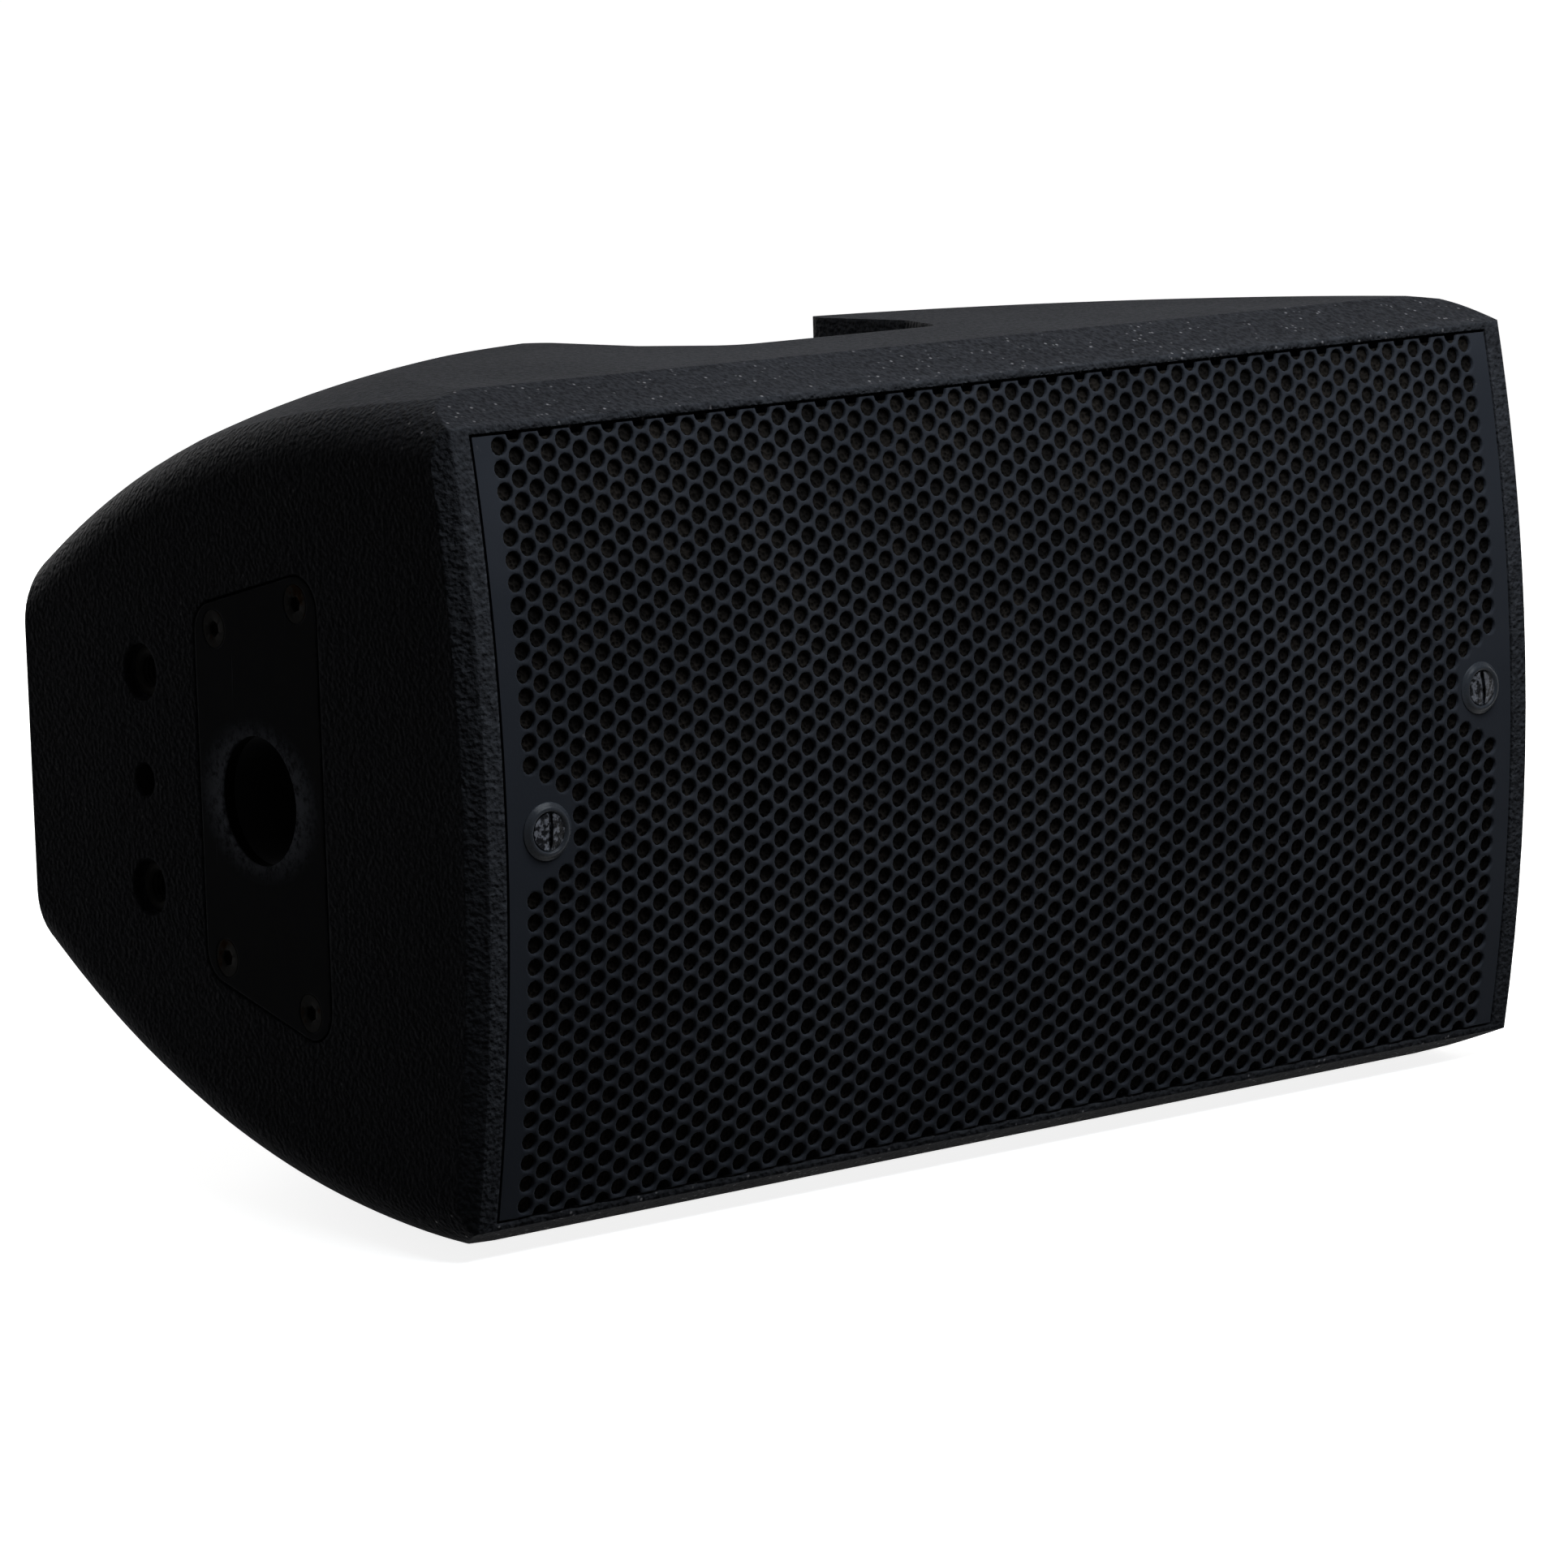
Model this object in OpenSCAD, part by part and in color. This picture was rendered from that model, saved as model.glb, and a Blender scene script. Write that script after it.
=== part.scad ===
// Two-way loudspeaker cabinet with a moulded shell, a bowed perforated grille and a coaxial driver.
// Working frame of the modules: X along the cabinet, Y backwards from the front, Z across it.
// place() then lays the cabinet on one of its flat sides, with the origin under the middle.

/* [Cabinet] */
// Length between the two end faces
cab_l = 392; // [388:1:400]
// Depth from the middle of the bowed front to the flat back
cab_d = 217; // [214:1:222]
// Half height at the crease behind the front bevel
side_z = 115; // [114:0.5:118]
// Lean of each flat side towards the back, in degrees
side_draft = 1.6; // [1:0.1:2.2]
// Distance of that crease behind the front
crease_y = 30; // [27:1:33]
// Radius of the bow across the front
bow_r = 553.6; // [530:0.1:600]
// Half height of the land round the grille
land_z = 107; // [106.5:0.5:108.5]
// Radius of the long edges at the two ends
end_r = 16; // [12:1:20]
// Chamfer between the front and the end faces
end_chamfer = 4.5; // [2:0.5:6]
// Thickness of the moulded wall
wall = 12; // [10:0.5:13]

/* [Rear dome] */
// Radius of the dome's curved section
dome_r = 255; // [245:1:265]
// Radius in plan of the ridge where the dome starts
ridge_r = 196.3; // [193:0.1:199]
// Distance of the dome's upright axis in front of the cabinet
dome_front = 32; // [29:1:35]
// Slope of the dome at the ridge, in degrees
dome_lean = 11; // [10:0.1:12]
// Radius of the edge between the dome and each end face
dome_edge_r = 17; // [12:1:20]

/* [Hand scoops] */
// Distance of the scoop's front wall from the front
scoop_y = 85; // [82:1:92]
// Width at the front wall
scoop_w = 76; // [68:1:84]
// Width of the open part behind
scoop_wide = 100; // [92:1:108]
// Length over which the scoop widens
scoop_flare = 30; // [22:1:40]
// Distance from the front at which the scoop opens out to the back
scoop_mouth_y = 159.5; // [155:0.5:164]
// Splay of its side walls from there, in degrees
scoop_splay = 42; // [30:1:50]
// Depth at the front wall
scoop_d = 30; // [24:1:32]
// Rise of the floor towards the back, in degrees
scoop_rise = 6; // [5:0.1:8]
// Radius of the front corners
scoop_r = 12; // [6:1:16]
// Wall left round the scoop
scoop_wall = 8; // [5:0.5:9]

/* [Grille] */
// Distance of the grille's ends from the cabinet's end faces
grille_border = 11; // [10:0.5:13]
// Rows of holes up the grille
grille_rows = 35; // [35]
// Flat bands that the bow is pressed in, each of a whole number of rows
grille_bands = 7; // [5, 7]
// Distance between holes
hole_pitch = 6; // [5.9:0.05:6.05]
// Diameter of the holes
hole_d = 5; // [4:0.1:5.2]
// Plain margin from each end to the first column of holes
hole_margin = 8.3; // [7:0.1:10]
// Thickness of the sheet
grille_t = 1.2; // [1:0.1:1.6]
// Gap between the grille and the shell
grille_gap = 0.8; // [0.5:0.1:1.2]
// Thickness of the foam behind the sheet
foam_t = 3; // [2:0.5:4]
// Distance of the grille screws from the ends of the grille
screw_inset = 12.8; // [12:0.1:14]
// Half height of the patch without holes round each screw
patch_z = 21; // [18:1:24]
// Reach of that patch from the end of the grille
patch_l = 28; // [25:1:31]

/* [Baffle] */
// Distance of the baffle's front from the middle of the front
baffle_y = 22; // [21:0.5:24]
// Thickness of the baffle board
baffle_t = 15; // [12:0.5:18]
// Width of the ledge that carries the edge of the grille
ledge = 3; // [2.5:0.5:3.5]
// Width of the shoulder that the baffle rests on
shoulder = 6; // [5:0.5:7]
// Depth of that shoulder
shoulder_t = 8; // [6:1:10]
// Clearance round the baffle
baffle_gap = 0.5; // [0.3:0.1:0.8]
// Bore of the two reflex ports
port_d = 48; // [40:1:50]
// Length of the reflex ports
port_l = 88; // [70:1:95]

/* [Pole mount] */
// Bore for the stand pole
pole_d = 36; // [35.5:0.1:36.5]
// Distance of the pole's axis from the front
pole_y = 100; // [98:1:102]
// Depth of the bore
pole_depth = 90; // [70:1:92]
// Wall of the pole tube
pole_wall = 4.5; // [3:0.5:5.5]
// Distance of the plate's long edge from the front
plate_front = 69.4; // [67:0.1:71]
// Distance of the plate's short edge from the front
plate_rear = 128.5; // [127:0.1:131]
// Height of the plate at its long edge
plate_front_h = 132; // [126:1:136]
// Height of the plate at its short edge
plate_rear_h = 102; // [96:1:106]
// Thickness of the plate
plate_t = 4; // [3:0.5:5]
// Gap round the plate
plate_gap = 0.9; // [0.5:0.1:1.2]
// Corner radius of the plate
plate_r = 9; // [6:0.5:12]
// Distance of the plate's screws from its edges
plate_screw_inset = 9.5; // [8.5:0.1:10.5]

/* [Rigging points] */
// Distance of the rigging points from the front
rig_y = 157; // [155:1:160]
// Distance between the two threaded inserts
rig_pitch = 61; // [58:1:64]
// Core diameter of the M10 thread
rig_core_d = 8.5; // [8.2:0.1:8.8]
// Outer diameter of the insert
rig_od = 15; // [14:0.5:15.5]
// Length of the insert
rig_l = 20; // [16:1:22]
// Diameter of the recess in front of the insert
rig_recess_d = 16.5; // [16:0.5:18]
// Depth of that recess
rig_recess = 3; // [2:0.5:4]
// Diameter of the locating hole between the inserts
locate_d = 10; // [9:0.5:11]
// Depth of the locating hole
locate_depth = 9; // [6:0.5:9.5]

/* [Coaxial driver] */
// Diameter of the driver's flange
driver_d = 200; // [197:0.5:201]
// Diameter of the cut-out in the baffle
cutout_d = 184; // [183:0.5:185]
// Thickness of the flange
flange_t = 5; // [4:0.5:6]
// Depth of the basket behind the baffle's front
basket_depth = 58; // [56:0.5:60]
// Radius of the cone's rim
cone_rim_r = 78; // [77:0.5:79]
// Thickness of the cone
cone_t = 1.2; // [0.8:0.1:1.6]
// Outer radius of the voice coil's former
former_r = 26; // [25.8:0.1:26.2]
// Thickness of the winding
winding_t = 1.2; // [0.8:0.1:1.4]
// Radial clearance on each side of the coil in the gap
coil_gap = 0.8; // [0.5:0.1:1]
// Outer radius of the magnet ring
magnet_r = 66; // [62:0.5:67]
// Thickness of the magnet ring
magnet_t = 20; // [16:1:22]
// Thickness of the two steel plates
plate_steel_t = 8; // [6:0.5:9]
// Bore through the pole piece
throat_d = 26; // [24:0.5:27]
// Number of mounting screws
driver_screws_n = 8; // [4, 6, 8]
// Circle of the mounting screws
driver_pcd = 191; // [190:0.5:192]
// Half width of the horn's mouth
horn_mouth = 50; // [46:1:52]
// Distance of the horn's mouth from the front
horn_y = 12; // [11:0.5:14]
// Wall of the horn
horn_wall = 2.5; // [2:0.5:3]
// Outer radius of the compression driver
hf_r = 42; // [38:1:46]
// Depth of the compression driver's housing
hf_depth = 34; // [30:1:38]

/* [Connections] */
// Width of the recess that holds the sockets
well_w = 116; // [112:1:122]
// Height of that recess
well_h = 62; // [56:1:68]
// Depth of that recess
well_d = 12; // [10:0.5:14]
// Thickness of the recess floor and walls
well_floor = 5; // [4:0.5:6]
// Distance between the two sockets
socket_pitch = 56; // [50:1:60]
// Diameter of each socket's barrel
socket_d = 24; // [23:0.5:25]
// Width of the crossover board
board_w = 78; // [70:1:80]
// Height of the crossover board
board_h = 110; // [100:1:116]

/* [Hidden] */
$fn = 64;
fine_fn = 240;
far = 600;
slip = 0.05;

half_l = cab_l / 2;
grille_l = cab_l - 2 * grille_border;
land_y = bow_r - sqrt(bow_r * bow_r - land_z * land_z);
bevel = (side_z - land_z) / (crease_y - land_y);
ridge_y = ridge_r * cos(45) - dome_front;
ridge_z = side_z - tan(side_draft) * (ridge_y - crease_y);
dome_c = [ridge_r - dome_r * sin(dome_lean), ridge_z - dome_r * cos(dome_lean)];
function dome_z(x, y) = dome_c[1] + sqrt(dome_r * dome_r - pow(norm([x, y + dome_front]) - dome_c[0], 2));
back_z = dome_z(0, cab_d);

// Edge of the dome on an end face: points of it, the circle through them and the slope across it
function circle_centre(a, b, c) =
    let (d = 2 * cross(b - a, c - a), p = (b - a) * (b - a), q = (c - a) * (c - a))
    a + [(c - a)[1] * p - (b - a)[1] * q, (b - a)[0] * q - (c - a)[0] * p] / d;
edge_points = [for (y = [0.3, 0.62, 1] * cab_d) [y, dome_z(half_l, y)]];
edge_c = circle_centre(edge_points[0], edge_points[1], edge_points[2]);
edge_r = norm(edge_points[0] - edge_c);
edge_lean = atan((dome_z(half_l - 10, edge_points[1][0]) - edge_points[1][1]) / 10);

column = hole_pitch * sqrt(3) / 2;
grille_arc = grille_rows * hole_pitch;
grille_turn = grille_arc / bow_r * 180 / PI;
grille_z = bow_r * sin(grille_turn / 2);
band_rows = grille_rows / grille_bands;
band_turn = grille_turn / grille_bands;
band_h = 2 * bow_r * sin(band_turn / 2);
band_sag = bow_r * (1 - cos(band_turn / 2));
columns = floor((grille_l / 2 - hole_margin) / column + 0.01);
foam_front = bow_r - grille_t - band_sag - slip;
foam_back = foam_front - foam_t;
screw_x = grille_l / 2 - screw_inset;
pocket_x = grille_l / 2 - ledge;
pocket_z = grille_z - ledge;
baffle_back = baffle_y + baffle_t;
cavity_y = baffle_back + shoulder_t;

washer_r = 7.85;
head_r = 5.15;
head_proud = 2;
head_edge = 0.7;
head_h = 1.2;
neck_r = 2.8;
washer_h = 1.7;
slot_w = 1.4;
slot_d = 0.6;
screw_r = 2.5;
grille_screw_l = 16;
post_r = 6;

plate_floor = half_l - plate_t;
plate_slope = (plate_front_h - plate_rear_h) / 2 / (plate_rear - plate_front);
tube_flange_r = pole_d / 2 + pole_wall + 7;
tube_flange_t = 2.5;
plate_screw_head_r = 5.5;
plate_screw_r = 2.6;
plate_screw_l = 16;
pad_t = 8;
boss_r = rig_od / 2 + 5;

driver_face = baffle_y - flange_t;
gap_in_r = former_r - 0.5 - coil_gap;
gap_out_r = former_r + winding_t + coil_gap;
basket_back = baffle_y + basket_depth;
magnet_y = basket_back + plate_steel_t;
backplate_y = magnet_y + magnet_t;
hf_y = backplate_y + plate_steel_t;
neck_depth = 38;
neck_y = baffle_y + neck_depth;
rim_y = driver_face;
spider_depth = 44;
spider_y = baffle_y + spider_depth;
pole_front = basket_back - 2;
hf_neck_in = 4;
hf_neck_l = 6;
hf_seat_in = 12;
hf_seat_depth = 9;
hf_film_t = 0.6;
hf_roll_w = 7;
hf_spigot_in = 14;
hf_cover_t = 9;
hf_cover_edge = [6, 4];
roll_r = 5;
roll_c = cone_rim_r + roll_r - 0.5;
lip_t = 1;
lip_w = 3.5;

// Horn sections from throat to mouth: place, half width and corner radius
horn_sections = [
    [pole_front - 6, throat_d / 2 - 3, throat_d / 2 - 3.01],
    [baffle_y + 16, horn_mouth * 0.54, horn_mouth * 0.34],
    [horn_y + 7, horn_mouth * 0.86, horn_mouth * 0.26],
    [horn_y, horn_mouth, horn_mouth * 0.22]
];

port_inset = 54;
port_x = port_inset - half_l;
port_z = 62;
port_wall = 2.5;
port_lip_w = 6;
port_lip_t = 2;
well_y = cab_d - well_d;
socket_depth = 20;
socket_flange = [26, 31];
socket_flange_r = 3;
socket_flange_t = 2.5;
socket_wall = 1.8;
socket_end = 2;
socket_post_r = 4.6;
socket_post_l = 16;
socket_screw_r = 1.6;
socket_screw_place = [9.5, 12];
board_stand = 12;
board_x = half_l - wall - board_stand;
board_y = 54;
board_t = 2;
board_edge = 5;
board_post_r = 4;
bass_coil = [22, 9, 24];
treble_coil = [16, 6, 18];
coil_edge = 30;
capacitor_d = 15;
capacitor_l = 32;
capacitor_pitch = 26;
resistor = [8, 26, 9];
mat_t = 10;
mat_h = 104;
mat_inset = 50;
window_w = 38;
window_reach = 40;

// Reach to the front and back, and height of the middle plane, with the cabinet on one side
front_reach = (head_proud - band_sag) * cos(side_draft) + head_r * sin(side_draft);
back_reach = cab_d * cos(side_draft) + back_z * sin(side_draft);
lift = side_z * cos(side_draft) + crease_y * sin(side_draft);

// Corner points of a convex outline turned into arcs of radius r
function unit(v) = v / norm(v);
function arc_points(c, p, q, n) =
    let (a = atan2(p[1] - c[1], p[0] - c[0]), b = atan2(q[1] - c[1], q[0] - c[0]), r = norm(p - c))
    let (sweep = b - a > 180 ? b - a - 360 : b - a < -180 ? b - a + 360 : b - a)
    [for (i = [0:n]) c + r * [cos(a + sweep * i / n), sin(a + sweep * i / n)]];
function corner(a, b, c, r, n) =
    let (u = unit(a - b), v = unit(c - b), h = acos(u * v) / 2)
    arc_points(b + unit(u + v) * r / sin(h), b + u * r / tan(h), b + v * r / tan(h), n);
function rounded(p, r, n = 8) =
    [for (i = [0:len(p) - 1]) each corner(p[(i + len(p) - 1) % len(p)], p[i], p[(i + 1) % len(p)], r, n)];
function box_outline(w, h) = [[-w, -h] / 2, [w, -h] / 2, [w, h] / 2, [-w, h] / 2];

module place() {
    translate([0, (front_reach - back_reach) / 2, lift]) rotate([-side_draft, 0, 0]) children();
}

// Local Z turned to point backwards, or inwards from an end
module backwards(y) {
    translate([0, y, 0]) rotate([-90, 0, 0]) children();
}
module from_left(x) {
    translate([-x, 0, 0]) rotate([0, 90, 0]) children();
}

// An outline in the X-Z plane pushed back from y0 to y1
module pushed_back(y0, y1) {
    translate([0, y1, 0]) rotate([90, 0, 0]) linear_extrude(y1 - y0) children();
}

// An outline in the Y-Z plane pushed along X, centred
module pushed_along(l) {
    rotate([90, 0, 90]) linear_extrude(l, center = true) children();
}

// Block under one flat side, with its long edges at the two ends rounded
module side_slab(inset) {
    r = max(end_r - inset, 2);
    w = cab_l - 2 * inset;
    translate([0, crease_y, side_z]) rotate([-side_draft, 0, 0]) rotate([90, 0, 0])
        linear_extrude(far, center = true) {
            translate([-w / 2, -far - inset - r]) square([w, far]);
            translate([r - w / 2, -far - inset]) square([w - 2 * r, far]);
            for (s = [-1, 1]) translate([s * (w / 2 - r), -inset - r]) circle(r, $fn = fine_fn / 2);
        }
}

module dome_profile(r) {
    translate(dome_c) {
        circle(r, $fn = 2 * fine_fn);
        translate([-far, -far]) square([far, far + r]);
    }
}

// Domed rear, turned about an upright axis in front of the cabinet
module dome(inset) {
    translate([0, -dome_front, 0]) rotate_extrude($fn = fine_fn) intersection() {
        dome_profile(dome_r - inset);
        mirror([0, 1]) dome_profile(dome_r - inset);
        translate([0, -far / 2]) square(far);
    }
}

// Rounded edge between the dome and the end faces, turned about the centre of that edge's curve
module end_round() {
    x_c = half_l - dome_edge_r;
    r_c = edge_r + dome_edge_r * (tan(edge_lean) - 1 / cos(edge_lean));
    x_t = x_c + dome_edge_r * sin(edge_lean);
    r_t = r_c + dome_edge_r * cos(edge_lean);
    r_top = r_t + x_t * tan(edge_lean);
    translate([0, edge_c[0], edge_c[1]]) rotate([0, 90, 0]) rotate_extrude($fn = 2 * fine_fn) {
        polygon([
            [0, -half_l], [r_c, -half_l], [r_t, -x_t], [r_top, 0], [r_t, x_t], [r_c, half_l], [0, half_l]
        ]);
        for (s = [-1, 1]) translate([r_c, s * x_c]) circle(dome_edge_r, $fn = fine_fn / 2);
    }
}

// Bowed front with a chamfer at each end
module bow() {
    translate([0, bow_r, 0]) rotate([0, 90, 0]) rotate_extrude($fn = 2 * fine_fn) polygon([
        [0, -half_l], [bow_r - end_chamfer, -half_l], [bow_r, end_chamfer - half_l],
        [bow_r, half_l - end_chamfer], [bow_r - end_chamfer, half_l], [0, half_l]
    ]);
}

// Front bevels and flat back
module wedge(inset, front) {
    shift = inset * sqrt(1 + bevel * bevel);
    y1 = crease_y + 40;
    z0 = land_z + bevel * (front - land_y) - shift;
    z1 = land_z + bevel * (y1 - land_y) - shift;
    back = cab_d - inset;
    pushed_along(cab_l + 2)
        polygon([[front, -z0], [y1, -z1], [back, -z1], [back, z1], [y1, z1], [front, z0]]);
}

module solid_body(inset, front) {
    intersection() {
        side_slab(inset);
        mirror([0, 0, 1]) side_slab(inset);
        dome(inset);
        wedge(inset, front);
    }
}

module scoop(grow) {
    w0 = scoop_w / 2 + grow;
    w1 = scoop_wide / 2 + grow;
    y0 = scoop_y - grow;
    y1 = scoop_y + scoop_flare;
    y2 = scoop_mouth_y;
    y3 = cab_d + 60;
    w2 = w1 + (y3 - y2) * tan(scoop_splay);
    floor_z = side_z - tan(side_draft) * (scoop_y - crease_y) - scoop_d - grow;
    intersection() {
        linear_extrude(far) polygon(rounded([
            [-w0, y0], [w0, y0], [w1, y1], [w1, y2], [w2, y3], [-w2, y3], [-w1, y2], [-w1, y1]
        ], scoop_r));
        translate([-far / 2, scoop_y, floor_z]) rotate([scoop_rise, 0, 0]) translate([0, -far / 2, 0])
            cube([far, 2 * far, far]);
    }
}

module both_sides() {
    children();
    mirror([0, 0, 1]) children();
}

module both_ends() {
    children();
    mirror([1, 0, 0]) children();
}

// Trapezoid outline of the pole plate in the Y-Z plane
module plate_outline(grow) {
    f = plate_front - grow;
    b = plate_rear + grow;
    zf = plate_front_h / 2 + grow;
    zb = plate_rear_h / 2 + grow;
    polygon(rounded([[f, -zf], [b, -zb], [b, zb], [f, zf]], plate_r + grow));
}

// Places of the four plate screws, pointing inwards
module at_plate_screws(x) {
    for (y = [plate_front + plate_screw_inset, plate_rear - plate_screw_inset], s = [-1, 1])
        translate([0, y, s * (plate_front_h / 2 - plate_slope * (y - plate_front) - plate_screw_inset + 2)])
            from_left(x) children();
}

module at_rig_points(x) {
    both_ends() for (s = [-1, 1]) translate([0, rig_y, s * rig_pitch / 2]) from_left(x) children();
}

// Stiffening left inside the walls: pole pad, insert bosses, socket recess and scoops
module inner_lands() {
    pole_pad = half_l - wall - pad_t;
    translate([-half_l, plate_front - 6, -plate_front_h / 2 - 6])
        cube([half_l - pole_pad, plate_rear - plate_front + 12, plate_front_h + 12]);
    at_rig_points(half_l) cylinder(r = boss_r, h = rig_recess + rig_l + 4);
    pushed_back(well_y - well_floor, cab_d)
        square([well_w + 2 * well_floor, well_h + 2 * well_floor], center = true);
    both_sides() scoop(scoop_wall);
}

module cabinet_shell() {
    color("#232427") place() difference() {
        intersection() {
            solid_body(0, -crease_y);
            bow();
            end_round();
            mirror([0, 0, 1]) end_round();
        }
        difference() {
            solid_body(wall, cavity_y);
            inner_lands();
        }
        both_sides() scoop(0);
        pushed_back(-crease_y, baffle_back) polygon(rounded(box_outline(2 * pocket_x, 2 * pocket_z), 4));
        pushed_back(0, cavity_y + 1)
            polygon(rounded(box_outline(2 * (pocket_x - shoulder), 2 * (pocket_z - shoulder)), 8));
        difference() {
            pushed_back(-crease_y, baffle_y)
                square([grille_l + 2 * grille_gap, 2 * (grille_z + grille_gap)], center = true);
            translate([0, bow_r, 0]) rotate([0, 90, 0])
                cylinder(r = foam_back, h = far, center = true, $fn = 2 * fine_fn);
        }
        translate([-plate_floor - far / 2, 0, 0]) pushed_along(far) plate_outline(plate_gap);
        translate([0, pole_y, 0]) from_left(half_l) {
            cylinder(r = pole_d / 2 + pole_wall + slip, h = wall + pad_t + 2);
            cylinder(r = tube_flange_r + slip, h = plate_t + tube_flange_t);
        }
        at_plate_screws(half_l) cylinder(r = plate_screw_r + slip, h = plate_screw_l + 1);
        at_rig_points(half_l) {
            cylinder(d = rig_od + 2 * slip, h = rig_recess + rig_l);
            cylinder(d = rig_recess_d, h = rig_recess);
        }
        both_ends() translate([0, rig_y, 0]) from_left(half_l) cylinder(d = locate_d, h = locate_depth);
        pushed_back(well_y, cab_d + 1) polygon(rounded(box_outline(well_w, well_h), 8));
        at_sockets(well_y - well_floor - 1) cylinder(d = socket_d + 2 * slip, h = well_floor + 2);
        at_socket_screws(well_y - well_floor - 1) cylinder(r = socket_screw_r + slip, h = well_floor + 2);
    }
}

module front_baffle() {
    color("#2a2622") place() difference() {
        pushed_back(baffle_y, baffle_back)
            polygon(rounded(box_outline(2 * (pocket_x - baffle_gap), 2 * (pocket_z - baffle_gap)), 4));
        backwards(baffle_y - 1) cylinder(d = cutout_d, h = baffle_t + 2, $fn = fine_fn);
        at_driver_screws(baffle_y - 1) cylinder(r = screw_r + slip, h = baffle_t + 2);
        at_ports(baffle_y - 1) cylinder(d = port_d + 2 * port_wall + 2 * slip, h = baffle_t + 2);
    }
}

module at_ports(y) {
    for (s = [-1, 1]) translate([port_x, 0, s * port_z]) backwards(y) children();
}

module reflex_ports() {
    color("#1b1b1c") place() at_ports(baffle_y) difference() {
        union() {
            cylinder(d = port_d + 2 * port_wall, h = port_l);
            translate([0, 0, -port_lip_t]) cylinder(d = port_d + 2 * port_lip_w, h = port_lip_t);
        }
        translate([0, 0, -port_lip_t - 1]) cylinder(d = port_d, h = port_l + port_lip_t + 2);
    }
}

// Hole centres of one column, counted in rows from the middle, left out round the two screws
function column_rows(i) =
    let (edge = grille_l / 2 - abs(i * column), odd = abs(i % 2) / 2, last = grille_rows / 2)
    [for (row = [-floor(last) - odd:last])
        if (edge > patch_l || abs(row * hole_pitch) > patch_z - edge * tan(30)) row];

// Local Z pointing out of the sheet at a turn about the axis of the bow
module on_bow(turn, r) {
    translate([0, bow_r, 0]) rotate([90 - turn, 0, 0]) translate([0, 0, r]) children();
}

// Sheet pressed in flat bands, so the middle of each band lies band_sag inside the bow
module grille_sheet() {
    turns = [for (b = [-grille_bands / 2:grille_bands / 2]) b * band_turn];
    inner_r = bow_r - grille_t / cos(band_turn / 2);
    pushed_along(grille_l) translate([bow_r, 0]) polygon(concat(
        [for (a = turns) -bow_r * [cos(a), sin(a)]],
        [for (k = [1:len(turns)]) -inner_r * [cos(turns[len(turns) - k]), sin(turns[len(turns) - k])]]
    ));
}

module grille() {
    middle = bow_r - band_sag - grille_t;
    depth = grille_t + 2;
    color("#3a3d44") place() difference() {
        grille_sheet();
        for (b = [(1 - grille_bands) / 2:(grille_bands - 1) / 2]) on_bow(b * band_turn, middle - 1)
            linear_extrude(depth) for (i = [-columns:columns], row = column_rows(i))
                if (abs(row - b * band_rows) < band_rows / 2)
                    translate([i * column, (row - b * band_rows) * hole_pitch])
                        circle(d = hole_d, $fn = 24);
        for (b = [-grille_bands / 2:grille_bands / 2]) on_bow(b * band_turn, middle - 1)
            linear_extrude(depth) for (i = [-columns:columns], row = column_rows(i))
                if (row == b * band_rows)
                    translate([i * column, 0]) rotate(45) circle(d = hole_d, $fn = 24);
        for (s = [-1, 1]) translate([s * screw_x, 0, 0]) on_bow(0, middle - 1)
            cylinder(r = screw_r + 0.5, h = depth);
    }
}

module grille_foam() {
    color("#1d1916") place() difference() {
        intersection() {
            translate([0, bow_r, 0]) rotate([0, 90, 0]) difference() {
                cylinder(r = foam_front, h = grille_l - 2, center = true, $fn = 2 * fine_fn);
                cylinder(r = foam_back, h = grille_l, center = true, $fn = 2 * fine_fn);
            }
            pushed_back(0, baffle_y) square([grille_l - 2, 2 * grille_z - 2], center = true);
        }
        at_grille_screws(0) cylinder(r = post_r + 0.5, h = baffle_y);
    }
}

module at_grille_screws(y) {
    for (s = [-1, 1]) translate([s * screw_x, 0, 0]) backwards(y) children();
}

module grille_posts() {
    seat = bow_r - bow_r * cos(band_turn / 2) + grille_t;
    color("#8d8f92") place() at_grille_screws(seat) difference() {
        cylinder(r = post_r, h = baffle_y - seat);
        translate([0, 0, -1]) cylinder(r = screw_r + slip, h = baffle_y - seat - 2);
    }
}

module cup_washers() {
    lip = head_r + 0.3;
    color("#9a9b9d") place() at_grille_screws(band_sag) rotate_extrude() polygon([
        [neck_r, 0], [washer_r, 0], [washer_r, -0.5], [washer_r - 1.4, -washer_h], [lip, -washer_h],
        [lip, head_edge - head_proud], [head_r, head_edge - head_proud], [neck_r, head_h - head_proud]
    ]);
}

module grille_screws() {
    color("#b9babb") place() at_grille_screws(band_sag - head_proud) difference() {
        union() {
            cylinder(r = head_r, h = head_edge);
            translate([0, 0, head_edge]) cylinder(r1 = head_r, r2 = neck_r, h = head_h - head_edge);
            cylinder(r = screw_r, h = grille_screw_l);
        }
        translate([-slot_w / 2, -head_r, -1]) cube([slot_w, 2 * head_r, 1 + slot_d]);
    }
}

module pole_plate() {
    color("#202124") place() difference() {
        translate([-plate_floor - plate_t / 2, 0, 0]) pushed_along(plate_t) plate_outline(0);
        translate([0, pole_y, 0]) from_left(half_l + 1) cylinder(d = pole_d, h = plate_t + 2);
        at_plate_screws(half_l + 1) cylinder(r = plate_screw_r + slip, h = plate_t + 2);
        at_plate_screws(half_l) cylinder(r1 = plate_screw_head_r + slip, r2 = plate_screw_r + slip, h = 3);
    }
}

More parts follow.
